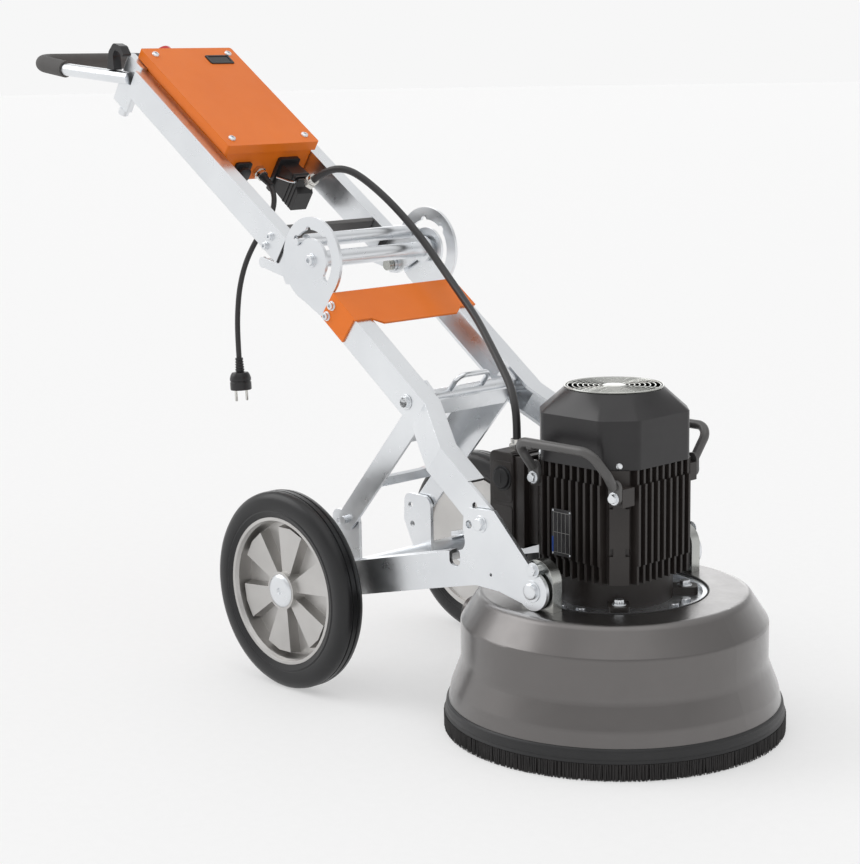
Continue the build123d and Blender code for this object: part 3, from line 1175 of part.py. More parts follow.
MOTOR_GLAND_X, MOTOR_GLAND_Y = -156.0, -38.0
BOX_LID_TOP = 396.0
with BuildPart() as motor_gland:
    with BuildSketch(Plane.XY.offset(BOX_LID_TOP)):
        with Locations((MOTOR_GLAND_X, MOTOR_GLAND_Y)):
            RegularPolygon(12, 6)
    extrude(amount=7)
    with BuildSketch(Plane.XY.offset(BOX_LID_TOP + 7)):
        with Locations((MOTOR_GLAND_X, MOTOR_GLAND_Y)):
            Circle(9.5)
    extrude(amount=7)
motor_gland.part.label = "motor_gland"
export_step(motor_gland.part, "parts/motor_gland.step")

MOTOR_CABLE_ROUTE = [
    tuple(hood_gland_tip), tuple(hood_gland_tip + gland_dir.normalized() * 30),
    (-640, 58, 789), (-606, 66, 777), (-548, 77, 737), (-486, 82, 686), (-430, 79, 635),
    (-376, 66, 598), (-318, 44, 566), (-264, 16, 537), (-222, -5, 512), (-188, -20, 488),
    (-167, -32, 466), (MOTOR_GLAND_X, MOTOR_GLAND_Y, BOX_LID_TOP + 44),
    (MOTOR_GLAND_X, MOTOR_GLAND_Y, BOX_LID_TOP + 14),
]
motor_cable_radii = bend_radii(MOTOR_CABLE_ROUTE)
with BuildPart() as motor_cable:
    with BuildLine() as motor_cable_path:
        FilletPolyline(*MOTOR_CABLE_ROUTE, radius=motor_cable_radii)
    with BuildSketch(motor_cable_path.line ^ 0):
        Circle(MOTOR_CABLE_RADIUS)
    sweep()
motor_cable.part.label = "motor_cable"
export_step(motor_cable.part, "parts/motor_cable.step")

LEAD_END = (-766, -73, 476)
POWER_LEAD_ROUTE = [
    tuple(lead_tip), tuple(lead_tip + lead_gland.z_dir * 31), (-727, -18, 728), (-730, -33, 699),
    (-741, -50, 671), (-754, -62, 636), (-763, -69, 596), (-767, -72, 555), (-768, -73, 515),
    LEAD_END,
]
power_lead_radii = bend_radii(POWER_LEAD_ROUTE)
with BuildPart() as power_lead:
    with BuildLine() as power_lead_path:
        FilletPolyline(*POWER_LEAD_ROUTE, radius=power_lead_radii)
    with BuildSketch(power_lead_path.line ^ 0):
        Circle(POWER_LEAD_RADIUS)
    sweep()
power_lead.part.label = "power_lead"
export_step(power_lead.part, "parts/power_lead.step")

plug_down = (Vector(*LEAD_END) - Vector(*POWER_LEAD_ROUTE[-2])).normalized()
plug_plane = Plane(origin=LEAD_END, x_dir=(0.3, 1, 0), z_dir=plug_down)
with BuildPart() as power_plug:
    with BuildSketch(plug_plane):
        Circle(6.5)
    with BuildSketch(plug_plane.offset(24)):
        Circle(8)
    loft()
    with BuildSketch(plug_plane.offset(24)):
        Circle(14)
    with BuildSketch(plug_plane.offset(34)):
        Circle(18)
    loft()
    with BuildSketch(plug_plane.offset(34)):
        Circle(18)
    extrude(amount=20)
    with BuildSketch(plug_plane.offset(54)):
        with GridLocations(19, 0, 2, 1):
            Circle(2.4)
    extrude(amount=19)
power_plug.part.label = "power_plug"
export_step(power_plug.part, "parts/power_plug.step")

for cord, radii, path, radius in (
    (motor_cable, motor_cable_radii, motor_cable_path, MOTOR_CABLE_RADIUS),
    (power_lead, power_lead_radii, power_lead_path, POWER_LEAD_RADIUS),
):
    length = sum(edge.length for edge in path.edges())
    print(cord.part.label, "radii", [round(value) for value in radii], "length", round(length),
          "volume ratio", round(cord.part.volume / (pi * radius ** 2 * length), 4))
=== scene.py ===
"""Looks of a walk-behind floor grinder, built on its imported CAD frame, in metres."""
import json
import math
import random

import bmesh
import bpy
from mathutils import Matrix, Vector


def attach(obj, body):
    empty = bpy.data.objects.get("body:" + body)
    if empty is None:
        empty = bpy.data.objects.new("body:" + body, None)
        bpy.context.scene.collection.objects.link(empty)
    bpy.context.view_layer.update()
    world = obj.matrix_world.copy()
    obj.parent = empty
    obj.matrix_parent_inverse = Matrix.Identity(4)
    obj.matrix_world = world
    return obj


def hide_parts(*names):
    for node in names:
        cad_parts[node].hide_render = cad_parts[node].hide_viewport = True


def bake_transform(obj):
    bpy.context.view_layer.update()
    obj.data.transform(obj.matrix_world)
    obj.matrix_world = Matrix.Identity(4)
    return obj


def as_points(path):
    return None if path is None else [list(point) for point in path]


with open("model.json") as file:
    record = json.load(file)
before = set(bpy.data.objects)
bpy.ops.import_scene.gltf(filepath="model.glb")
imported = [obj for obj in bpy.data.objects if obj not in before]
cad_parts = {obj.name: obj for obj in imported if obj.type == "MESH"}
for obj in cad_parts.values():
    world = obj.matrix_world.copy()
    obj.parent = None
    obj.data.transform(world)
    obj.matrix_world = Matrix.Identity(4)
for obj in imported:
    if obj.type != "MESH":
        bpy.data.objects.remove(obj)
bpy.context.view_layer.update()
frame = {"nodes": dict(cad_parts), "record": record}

MM = 0.001
SIDES = {"right": -1, "left": 1}
UPRIGHT = Vector((0, 0, 1))


# ------------------------------------------------------------------ material building blocks

def start_material(name):
    """A new node material: its nodes, links and Principled shader."""
    made = bpy.data.materials.new(name)
    made.use_nodes = True
    tree = made.node_tree
    return made, tree.nodes, tree.links, tree.nodes["Principled BSDF"]


def object_coords(nodes, links, stretch=(1, 1, 1)):
    """Object coordinates in metres, scaled along each axis."""
    source = nodes.new("ShaderNodeTexCoord")
    mapping = nodes.new("ShaderNodeMapping")
    mapping.inputs["Scale"].default_value = stretch
    links.new(source.outputs["Object"], mapping.inputs["Vector"])
    return mapping.outputs["Vector"]


def noise(nodes, links, coords, scale, detail=4, roughness=0.55):
    """A noise texture's height output."""
    texture = nodes.new("ShaderNodeTexNoise")
    texture.inputs["Scale"].default_value = scale
    texture.inputs["Detail"].default_value = detail
    texture.inputs["Roughness"].default_value = roughness
    links.new(coords, texture.inputs["Vector"])
    return texture.outputs["Fac"]


def ramp(nodes, links, source, stops):
    """A colour ramp over source: stops are (place, colour or grey)."""
    node = nodes.new("ShaderNodeValToRGB")
    links.new(source, node.inputs["Fac"])
    while len(node.color_ramp.elements) < len(stops):
        node.color_ramp.elements.new(0.5)
    for element, (place, value) in zip(node.color_ramp.elements, stops):
        element.position = place
        element.color = (*value, 1) if hasattr(value, "__len__") else (value, value, value, 1)
    return node.outputs["Color"]


def bumped(nodes, links, shader, layers, edge=0.0):
    """Chains bump nodes of (height, distance, strength) into the shader, over rounded edges."""
    normal = None
    if edge:
        bevel = nodes.new("ShaderNodeBevel")
        bevel.samples = 4
        bevel.inputs["Radius"].default_value = edge
        normal = bevel.outputs["Normal"]
    for height, distance, strength in layers:
        bump = nodes.new("ShaderNodeBump")
        bump.inputs["Distance"].default_value = distance
        bump.inputs["Strength"].default_value = strength
        links.new(height, bump.inputs["Height"])
        if normal:
            links.new(normal, bump.inputs["Normal"])
        normal = bump.outputs["Normal"]
    if normal:
        links.new(normal, shader.inputs["Normal"])


# Noise scales of the looks, per metre: slow drifts of tint, patches of gloss and fine grain.
PLATED_DRIFT, PLATED_GLOSS, PLATED_GRAIN = 6, 55, 240
PAINT_DRIFT, PAINT_SMUDGE = 7, 26
DUST_SCALE = 18
# Heights of the fine relief, in metres.
GRAIN_HEIGHT, PEEL_HEIGHT, LEATHER_HEIGHT = 0.0003, 0.00025, 0.0002
COAT_ROUGHNESS = 0.22


def plated_metal(name, light, dark, rough, grain=(1, 1, 1), edge=0.0007, depth=0.08):
    """Plated or cast metal: a faint drift of tint, rolling grain and an uneven gloss."""
    made, nodes, links, shader = start_material(name)
    coords = object_coords(nodes, links)
    drift = noise(nodes, links, coords, PLATED_DRIFT, 3, 0.5)
    links.new(ramp(nodes, links, drift, [(0.3, dark), (0.7, light)]), shader.inputs["Base Color"])
    gloss = noise(nodes, links, coords, PLATED_GLOSS, 4, 0.6)
    links.new(ramp(nodes, links, gloss, [(0.3, rough * 0.88), (0.7, rough * 1.12)]),
              shader.inputs["Roughness"])
    rolled = noise(nodes, links, object_coords(nodes, links, grain), PLATED_GRAIN, 2, 0.5)
    bumped(nodes, links, shader, [(rolled, GRAIN_HEIGHT, depth)], edge)
    shader.inputs["Metallic"].default_value = 1.0
    return made


def painted_metal(name, light, dark, rough, peel=1500, depth=0.08, metallic=0.0,
                  specular=0.5, coat=0.0, edge=0.0008):
    """Powder coat or paint: faint colour drift, orange peel and patchy gloss."""
    made, nodes, links, shader = start_material(name)
    coords = object_coords(nodes, links)
    drift = noise(nodes, links, coords, PAINT_DRIFT, 4, 0.6)
    links.new(ramp(nodes, links, drift, [(0.3, dark), (0.68, light)]), shader.inputs["Base Color"])
    skin = noise(nodes, links, coords, peel, 2, 0.5)
    smudge = noise(nodes, links, coords, PAINT_SMUDGE, 5, 0.65)
    links.new(ramp(nodes, links, smudge, [(0.3, rough * 0.85), (0.7, rough * 1.15)]),
              shader.inputs["Roughness"])
    bumped(nodes, links, shader, [(skin, PEEL_HEIGHT, depth)], edge)
    shader.inputs["Metallic"].default_value = metallic
    shader.inputs["Specular IOR Level"].default_value = specular
    shader.inputs["Coat Weight"].default_value = coat
    shader.inputs["Coat Roughness"].default_value = COAT_ROUGHNESS
    return made


def moulded(name, light, dark, rough, grain=2200, depth=0.10, edge=0.0006, specular=0.45):
    """Moulded plastic or rubber with a fine leathery grain and a little dust."""
    made, nodes, links, shader = start_material(name)
    coords = object_coords(nodes, links)
    dust = noise(nodes, links, coords, DUST_SCALE, 6, 0.7)
    links.new(ramp(nodes, links, dust, [(0.35, dark), (0.75, light)]), shader.inputs["Base Color"])
    texture = noise(nodes, links, coords, grain, 2, 0.6)
    links.new(ramp(nodes, links, dust, [(0.3, rough * 0.9), (0.75, rough * 1.12)]),
              shader.inputs["Roughness"])
    bumped(nodes, links, shader, [(texture, LEATHER_HEIGHT, depth)], edge)
    shader.inputs["Specular IOR Level"].default_value = specular
    return made


MATERIALS = {
    "zinc": plated_metal("zinc", (0.83, 0.85, 0.87), (0.73, 0.75, 0.775), 0.30, (1, 4, 1),
                         depth=0.05),
    "yellow_zinc": plated_metal("yellow_zinc", (0.56, 0.56, 0.52), (0.42, 0.43, 0.42), 0.22),
    "orange_paint": painted_metal("orange_paint", (0.82, 0.185, 0.012), (0.77, 0.165, 0.010), 0.36,
                                  specular=0.32),
    "shroud_paint": painted_metal("shroud_paint", (0.142, 0.133, 0.130), (0.130, 0.122, 0.119),
                                  0.38, depth=0.015, metallic=1.0, coat=1.0),
    "motor_paint": painted_metal("motor_paint", (0.027, 0.022, 0.020), (0.018, 0.0145, 0.013), 0.42,
                                 peel=700, depth=0.22),
    "dark_plastic": moulded("dark_plastic", (0.021, 0.020, 0.021), (0.014, 0.013, 0.014), 0.33),
    "handle_paint": painted_metal("handle_paint", (0.105, 0.102, 0.100), (0.085, 0.083, 0.082),
                                  0.38, metallic=0.25),
    "cast_aluminium": plated_metal("cast_aluminium", (0.66, 0.65, 0.635), (0.50, 0.49, 0.478), 0.40,
                                   depth=0.25),
    "tyre_rubber": moulded("tyre_rubber", (0.011, 0.0112, 0.0125), (0.0065, 0.0066, 0.0075), 0.36),
    "black_rubber": moulded("black_rubber", (0.020, 0.020, 0.021), (0.012, 0.012, 0.013), 0.46),
    "bristles": moulded("bristles", (0.022, 0.019, 0.019), (0.008, 0.007, 0.007), 0.55, edge=0),
    "nickel": plated_metal("nickel", (0.70, 0.69, 0.66), (0.62, 0.61, 0.58), 0.2),
    "machined_steel": plated_metal("machined_steel", (0.62, 0.62, 0.63), (0.5, 0.5, 0.51), 0.32),
    "diamond_bond": plated_metal("diamond_bond", (0.42, 0.38, 0.33), (0.26, 0.23, 0.20), 0.6),
    "display": moulded("display", (0.010, 0.010, 0.012), (0.006, 0.006, 0.007), 0.12, depth=0.0),
    "red_plastic": moulded("red_plastic", (0.62, 0.012, 0.012), (0.52, 0.01, 0.01), 0.28, depth=0.02),
    "green_plastic": moulded("green_plastic", (0.02, 0.30, 0.07), (0.015, 0.24, 0.05), 0.28,
                             depth=0.02),
    "grip_foam": moulded("grip_foam", (0.105, 0.101, 0.098), (0.080, 0.076, 0.074), 0.75, grain=900,
                         depth=0.35, edge=0),
    "cord_sheath": moulded("cord_sheath", (0.034, 0.033, 0.034), (0.024, 0.023, 0.024), 0.42, edge=0),
    "plate_line": painted_metal("plate_line", (0.30, 0.30, 0.29), (0.22, 0.22, 0.21), 0.4),
    "plate_band": painted_metal("plate_band", (0.015, 0.07, 0.34), (0.012, 0.055, 0.28), 0.35),
}
for part in frame["record"]["subparts"]:
    node = frame["nodes"][part["node"]]
    node.data.materials.clear()
    node.data.materials.append(MATERIALS[part["material_slot"]])


# ------------------------------------------------------------------ camera, stage and lights

CAMERA_PLACE = Vector((1.8421, -2.1206, 0.9605))
CAMERA_AZIMUTH, CAMERA_ELEVATION, CAMERA_ROLL = 46.36, 10.58, -0.92
CAMERA_LENS = 82.83
CAMERA_REACH = 200


def build_camera():
    """The camera at the reference viewing angle."""
    angles = (CAMERA_AZIMUTH, CAMERA_ELEVATION, CAMERA_ROLL)
    azimuth, elevation, roll = (math.radians(angle) for angle in angles)
    back = Vector((math.sin(azimuth) * math.cos(elevation),
                   -math.cos(azimuth) * math.cos(elevation), math.sin(elevation)))
    right = Vector((math.cos(azimuth), math.sin(azimuth), 0))
    upward = back.cross(right)
    turned_right = math.cos(roll) * right + math.sin(roll) * upward
    turned_up = math.cos(roll) * upward - math.sin(roll) * right
    data = bpy.data.cameras.new("camera")
    data.lens = CAMERA_LENS
    data.clip_end = CAMERA_REACH
    camera = bpy.data.objects.new("camera", data)
    rotation = Matrix((turned_right, turned_up, back)).transposed()
    camera.matrix_world = Matrix.Translation(CAMERA_PLACE) @ rotation.to_4x4()
    bpy.context.scene.collection.objects.link(camera)
    bpy.context.scene.camera = camera


FLOOR_RADIUS = 70
FLOOR_DROP = 0.0004
FLOOR_GRAIN, FLOOR_GREYS = 60, (0.435, 0.445)
# The floor's own light, which lifts its grey to the background's.
FLOOR_GLOW = 0.447
BACKGROUND = 0.93


def build_stage():
    """A pale floor that fades into the background."""
    mesh = bpy.data.meshes.new("floor")
    shape = bmesh.new()
    bmesh.ops.create_circle(shape, cap_ends=True, radius=FLOOR_RADIUS, segments=96)
    shape.to_mesh(mesh)
    shape.free()
    floor = bpy.data.objects.new("floor", mesh)
    bpy.context.scene.collection.objects.link(floor)
    made, nodes, links, shader = start_material("floor")
    grain = noise(nodes, links, object_coords(nodes, links), FLOOR_GRAIN, 3)
    greys = ramp(nodes, links, grain, list(zip((0.3, 0.7), FLOOR_GREYS)))
    links.new(greys, shader.inputs["Base Color"])
    shader.inputs["Emission Color"].default_value = (1, 1, 1, 1)
    shader.inputs["Emission Strength"].default_value = FLOOR_GLOW
    shader.inputs["Roughness"].default_value = 0.9
    shader.inputs["Specular IOR Level"].default_value = 0.05
    mesh.materials.append(made)
    floor.location.z = -FLOOR_DROP


def soft_sun(name, direction, strength, spread):
    """A wide, soft sun shining along direction; spread is its angle in degrees."""
    data = bpy.data.lights.new(name, "SUN")
    data.energy = strength
    data.angle = math.radians(spread)
    light = bpy.data.objects.new(name, data)
    light.rotation_mode = "QUATERNION"
    light.rotation_quaternion = Vector(direction).to_track_quat("-Z", "Y")
    bpy.context.scene.collection.objects.link(light)


# Greys of the surroundings from straight below to straight above.
SKY_STOPS = [(0.0, BACKGROUND), (0.56, BACKGROUND), (0.70, 0.50), (0.84, 0.80), (1.0, 1.05)]
# Name, direction, strength and spread in degrees of each lamp.
LAMPS = (("key", (0.70, 0.45, -0.60), 0.85, 40),
         ("top", (-0.2, 0.2, -1.0), 0.28, 60),
         ("rim", (0.70, -0.68, -0.27), 0.34, 40))


def build_lights():
    """White studio surroundings, dimmer halfway up, and soft lamps from above."""
    world = bpy.data.worlds.new("studio")
    world.use_nodes = True
    nodes, links = world.node_tree.nodes, world.node_tree.links
    where = nodes.new("ShaderNodeTexCoord")
    split = nodes.new("ShaderNodeSeparateXYZ")
    links.new(where.outputs["Generated"], split.inputs["Vector"])
    lift = nodes.new("ShaderNodeMapRange")
    lift.inputs["From Min"].default_value = -1
    links.new(split.outputs["Z"], lift.inputs["Value"])
    sky = ramp(nodes, links, lift.outputs["Result"], SKY_STOPS)
    links.new(sky, nodes["Background"].inputs["Color"])
    bpy.context.scene.world = world
    for lamp in LAMPS:
        soft_sun(*lamp)
    bpy.context.scene.view_settings.view_transform = "Standard"


build_camera()
build_stage()
build_lights()


# ------------------------------------------------------------------ cords

MOTOR_CABLE_RADIUS, MOTOR_CABLE_LENGTH = 0.006, 0.719
MOTOR_CABLE_ROUTE = [
    (-0.6996, 0.0469, 0.7700), (-0.6733, 0.0506, 0.7839), (-0.640, 0.058, 0.789),
    (-0.606, 0.066, 0.777), (-0.548, 0.077, 0.737), (-0.486, 0.082, 0.686),
    (-0.430, 0.079, 0.635), (-0.376, 0.066, 0.598), (-0.318, 0.044, 0.566),
    (-0.264, 0.016, 0.537), (-0.222, -0.005, 0.512), (-0.188, -0.020, 0.488),
    (-0.167, -0.032, 0.466), (-0.156, -0.038, 0.440), (-0.156, -0.038, 0.410),
]
POWER_LEAD_RADIUS, POWER_LEAD_LENGTH = 0.0045, 0.330
POWER_LEAD_ROUTE = [
    (-0.7653, -0.010, 0.7747), (-0.7397, -0.010, 0.7572), (-0.727, -0.018, 0.728),
    (-0.730, -0.033, 0.699), (-0.741, -0.050, 0.671), (-0.754, -0.062, 0.636),
    (-0.763, -0.069, 0.596), (-0.767, -0.072, 0.555), (-0.768, -0.073, 0.515),
    (-0.766, -0.073, 0.476),
]


def cord_curve(name, route, radius):
    """A round cord along one smooth curve through its route."""
    data = bpy.data.curves.new(name, "CURVE")
    data.dimensions = "3D"
    data.bevel_depth = radius
    data.bevel_resolution = 6
    data.resolution_u = 12
    data.use_fill_caps = True
    spline = data.splines.new("NURBS")
    spline.points.add(len(route) - 1)
    for point, place in zip(spline.points, route):
        point.co = (*place, 1)
    spline.order_u = 3
    spline.use_endpoint_u = True
    data.materials.append(MATERIALS["cord_sheath"])
    cord = bpy.data.objects.new(name, data)
    bpy.context.scene.collection.objects.link(cord)
    return cord


def cord_line(route):
    """The centre line of a cord's route, point by point."""
    line = cord_curve("line", route, 0)
    flat = bpy.data.meshes.new_from_object(line)
    points = [tuple(vertex.co) for vertex in flat.vertices]
    bpy.data.objects.remove(line)
    return points


def build_power_lead():
    """The short lead from the control box, hanging down to its plug."""
    cord = cord_curve("power_lead_cord", POWER_LEAD_ROUTE, POWER_LEAD_RADIUS)
    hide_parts("power_lead")
    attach(cord, "handle")


def build_motor_cable():
    """The cable from the control box's connector to the motor, one fixed mesh along its route past the
    folding joint.
    """
    curve = cord_curve("cable_curve", MOTOR_CABLE_ROUTE, MOTOR_CABLE_RADIUS)
    mesh = bpy.data.meshes.new_from_object(curve)
    bpy.data.objects.remove(curve)
    cord = bpy.data.objects.new("motor_cable_cord", mesh)
    bpy.context.scene.collection.objects.link(cord)
    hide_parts("motor_cable")
    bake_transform(cord)
    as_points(cord_line(MOTOR_CABLE_ROUTE))


build_motor_cable()


# ------------------------------------------------------------------ mesh helpers, sizes in millimetres

def seat(place, axis=UPRIGHT, turn=0.0):
    """Millimetre axes at place whose Z runs along axis, turned about it by degrees."""
    facing = Vector(axis).to_track_quat("Z", "Y").to_matrix().to_4x4()
    spun = Matrix.Rotation(math.radians(turn), 4, "Z")
    return Matrix.Translation(Vector(place) * MM) @ facing @ spun @ Matrix.Scale(MM, 4)


def side_seat(x, z, side, reach=0.0, turn=0.0):
    """A seat facing out of the machine's right (-1) or left (1) side, at |y| = reach."""
    return seat((x, side * reach, z), (0, side, 0), turn)


UPPER_ORIGIN = Vector((-579.7, 0, 688.3))
UPPER_ALONG, UPPER_OUT = Vector((-0.8254, 0, 0.5645)), Vector((0.5645, 0, 0.8254))
RAIL_ORIGIN = Vector((-337.3, 0, 519.7))
RAIL_ALONG, RAIL_OUT = Vector((0.8028, 0, -0.5962)), Vector((0.5962, 0, 0.8028))


def sloped_seat(origin, along, out, run, y, height):
    """Millimetre axes on a sloping member: X along it and Z square out of it."""
    place = origin + along * run + out * height + Vector((0, y, 0))
    axes = Matrix((along, out.cross(along), out)).transposed().to_4x4()
    return Matrix.Translation(place * MM) @ axes @ Matrix.Scale(MM, 4)


def upper_seat(run, y, height):
    """A seat on the upper arm, run along it and height out of it."""
    return sloped_seat(UPPER_ORIGIN, UPPER_ALONG, UPPER_OUT, run, y, height)


def upper_place(run, height):
    """X and Z of a point on the upper arm."""
    place = UPPER_ORIGIN + UPPER_ALONG * run + UPPER_OUT * height
    return place.x, place.z


def rail_place(run, height):
    """X and Z of a point on the lower frame rail."""
    place = RAIL_ORIGIN + RAIL_ALONG * run + RAIL_OUT * height
    return place.x, place.z


HEX = "hex"


def ring_radius(radius, angle, kind):
    """A round ring's radius, or a hexagon's, whose corners are at radius."""
    if kind != HEX:
        return radius
    return radius * math.cos(math.pi / 6) / math.cos(angle % (math.pi / 3) - math.pi / 6)


def lathe(shape, place, profile, sides=36, closed=False):
    """Turns a profile of (radius, height) points about Z; a point marked HEX makes a hexagon."""
    loops = []
    for radius, height, *kind in profile:
        if radius == 0:
            loops.append([shape.verts.new(place @ Vector((0, 0, height)))])
            continue
        loop = []
        for k in range(sides):
            angle = math.tau * k / sides
            reach = ring_radius(radius, angle, kind[0] if kind else None)
            corner = Vector((reach * math.cos(angle), reach * math.sin(angle), height))
            loop.append(shape.verts.new(place @ corner))
        loops.append(loop)
    following = loops[1:] + (loops[:1] if closed else [])
    for low, high in zip(loops, following):
        for k in range(sides):
            after = k + 1
            ring = [low[k % len(low)], low[after % len(low)],
                    high[after % len(high)], high[k % len(high)]]
            corners = list(dict.fromkeys(ring))
            if len(corners) > 2:
                shape.faces.new(corners)


def slab(shape, place, outline, low, high, soft=0.0):
    """Draws an (x, y) outline up from low to high, with its edges softened."""
    rings = [[shape.verts.new(place @ Vector((x, y, z))) for x, y in outline] for z in (low, high)]
    faces = [shape.faces.new(rings[0]), shape.faces.new(rings[1])]
    for k in range(len(outline)):
        after = (k + 1) % len(outline)
        faces.append(shape.faces.new((rings[0][k], rings[0][after], rings[1][after], rings[1][k])))
    if soft:
        edges = list({edge for face in faces for edge in face.edges})
        bmesh.ops.bevel(shape, geom=edges, offset=soft * MM, segments=2, profile=0.6,
                        affect="EDGES")


def rounded(width, depth, corner=0.0, x=0.0, y=0.0, steps=4):
    """A rectangle's outline about (x, y), its corners rounded."""
    if not corner:
        return [(x + sx * width / 2, y + sy * depth / 2)
                for sx, sy in ((-1, -1), (1, -1), (1, 1), (-1, 1))]
    outline = []
    for quarter, (sx, sy) in enumerate(((1, 1), (-1, 1), (-1, -1), (1, -1))):
        for k in range(steps + 1):
            angle = math.radians(90 * (quarter + k / steps))
            outline.append((x + sx * (width / 2 - corner) + corner * math.cos(angle),
                            y + sy * (depth / 2 - corner) + corner * math.sin(angle)))
    return outline


def tube(shape, points, radius, sides=12):
    """A closed round bar along points, in millimetres."""
    points = [Vector(p) for p in points]
    loops = []
    for k, point in enumerate(points):
        ahead = points[min(k + 1, len(points) - 1)] - points[max(k - 1, 0)]
        around = seat(point, ahead)
        angles = [math.tau * j / sides for j in range(sides)]
        loops.append([shape.verts.new(around @ Vector((radius * math.cos(angle),
                                                       radius * math.sin(angle), 0)))
                      for angle in angles])
    for low, high in zip(loops, loops[1:]):
        for j in range(sides):
            after = (j + 1) % sides
            shape.faces.new((low[j], low[after], high[after], high[j]))
    shape.faces.new(loops[0])
    shape.faces.new(loops[-1])


def finish_piece(name, shape, body, slot=None, replaced=(), flat_angle=32, finish=None):
    """Turns a mesh in progress into a smooth piece that rides on body.

    Its look is its slot's, or finish, which has no slot.
    """
    bmesh.ops.remove_doubles(shape, verts=shape.verts, dist=1e-7)
    bmesh.ops.recalc_face_normals(shape, faces=shape.faces)
    mesh = bpy.data.meshes.new(name)
    shape.to_mesh(mesh)
    shape.free()
    mesh.shade_smooth()
    mesh.set_sharp_from_angle(angle=math.radians(flat_angle))
    mesh.materials.append(MATERIALS[finish or slot])
    piece = bpy.data.objects.new(name, mesh)
    bpy.context.scene.collection.objects.link(piece)
    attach(piece, body)
    if replaced:
        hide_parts(*replaced)


# ------------------------------------------------------------------ fasteners

def hex_head(shape, place, radius, height, washer=0.0):
    """A hexagon head with a chamfered top, on a washer."""
    top = washer + height
    profile = [(0, top), (radius * 0.84, top), (radius, top - radius * 0.14, HEX),
               (radius, washer, HEX)]
    if washer:
        profile += [(radius * 1.28, washer), (radius * 1.32, washer * 0.5)]
    profile += [(radius * (1.32 if washer else 0.9), 0), (0, 0)]
    lathe(shape, place, profile)


def socket_head(shape, place, radius, height, washer=0.0):
    """A cap head with a hexagon socket, on a washer."""
    top = washer + height
    key, edge = radius * 0.5, radius * 0.1
    profile = [(0, top - height * 0.6), (key, top - height * 0.6, HEX), (key, top, HEX),
               (radius - edge, top), (radius, top - edge), (radius, washer)]
    if washer:
        profile += [(radius * 1.3, washer), (radius * 1.34, washer * 0.5), (radius * 1.34, 0)]
    else:
        profile += [(radius, 0)]
    lathe(shape, place, profile + [(0, 0)])


def domed_head(shape, place, radius, height, rise=0.45):
    """A smooth domed head, crowned by rise of its height."""
    shoulder = height * (1 - rise)
    crown = [(radius * math.sin(math.radians(a)),
              shoulder + height * rise * math.cos(math.radians(a))) for a in (20, 40, 55, 68, 80)]
    lathe(shape, place, [(0, height)] + crown + [(radius, shoulder), (radius, 0), (0, 0)])


def screw_head(shape, place, radius, height):
    """A pan head with a small hexagon drive."""
    key = radius * 0.42
    lathe(shape, place, [(0, height * 0.35), (key, height * 0.35, HEX), (key, height * 0.98, HEX),
                         (radius * 0.62, height * 0.94), (radius * 0.88, height * 0.72),
                         (radius, height * 0.35), (radius, 0), (0, 0)])


def ring_seats(radius, height, count, first):
    """Upright seats spread evenly round the head's axis."""
    for k in range(count):
        angle = math.radians(first + 360 * k / count)
        place = (radius * math.cos(angle), radius * math.sin(angle), height)
        yield seat(place, UPRIGHT, math.degrees(angle))


# Bolt rings round the motor: ring radius, height, first angle, then head radius, height, washer.
MOTOR_BOLT_RINGS = ((112, 195.0, 0, (7.6, 6.0, 1.2)), (112, 195.0, 17, (7.6, 6.0, 1.2)),
                    (103, 207.0, 45, (7.8, 6.4, 1.4)))
# The pin above the head's pivot: its place, its bar from the axis out, and its outer face.
LOCK_PIN_X, LOCK_PIN_Z, LOCK_PIN_FACE = 2.0, 262.8, 172.2
LOCK_PIN_BAR = [(0, 143), (5.3, 143), (5.3, LOCK_PIN_FACE), (0, LOCK_PIN_FACE)]
# The lifting handles' bolts: x on the left side, which swaps sign on the right, z, and their face.
NEAR_HANDLE_BOLT, FAR_HANDLE_BOLT, HANDLE_BOLT_FACE = (66, 374), (-86, 365), 99.2


def build_head_fasteners():
    """Bolts of the motor plate, the lock pins and the lifting handles."""
    shape = bmesh.new()
    for radius, height, first, head in MOTOR_BOLT_RINGS:
        for place in ring_seats(radius, height, 4, first):
            hex_head(shape, place, *head)
    for side in SIDES.values():
        lathe(shape, side_seat(LOCK_PIN_X, LOCK_PIN_Z, side), LOCK_PIN_BAR)
        hex_head(shape, side_seat(LOCK_PIN_X, LOCK_PIN_Z, side, LOCK_PIN_FACE, 12), 8.5, 5.0, 1.2)
        for x, z in (NEAR_HANDLE_BOLT, FAR_HANDLE_BOLT):
            hex_head(shape, side_seat(x * side, z, side, HANDLE_BOLT_FACE, 20), 7.0, 5.0, 1.2)
    finish_piece("head_fasteners_cut", shape, "head", "zinc", ["head_fasteners"])


HEAD_PIVOT_X, HEAD_PIVOT_Z, HEAD_PIVOT_FACE = -2.4, 231.7, 172.4
HEAD_PIVOT_BOLT = [(0, 143), (8, 143), (8, 161.5), (15, 161.5), (15, 165), (8, 165), (8, 171),
                   (15.5, 171), (15.5, HEAD_PIVOT_FACE), (0, HEAD_PIVOT_FACE)]
FRAME_PIVOT_X, FRAME_PIVOT_Z = -102.1, 311.9
FRAME_PIVOT_INNER, FRAME_PIVOT_OUTER, FRAME_PIVOT_TURN = 149.2, 171, 7
FRAME_PIVOT_BOLT = [(0, 156.7), (6, 156.7), (6, 163.3), (10, 163.3), (10, 165), (6, 165),
                    (6, FRAME_PIVOT_OUTER), (0, FRAME_PIVOT_OUTER)]


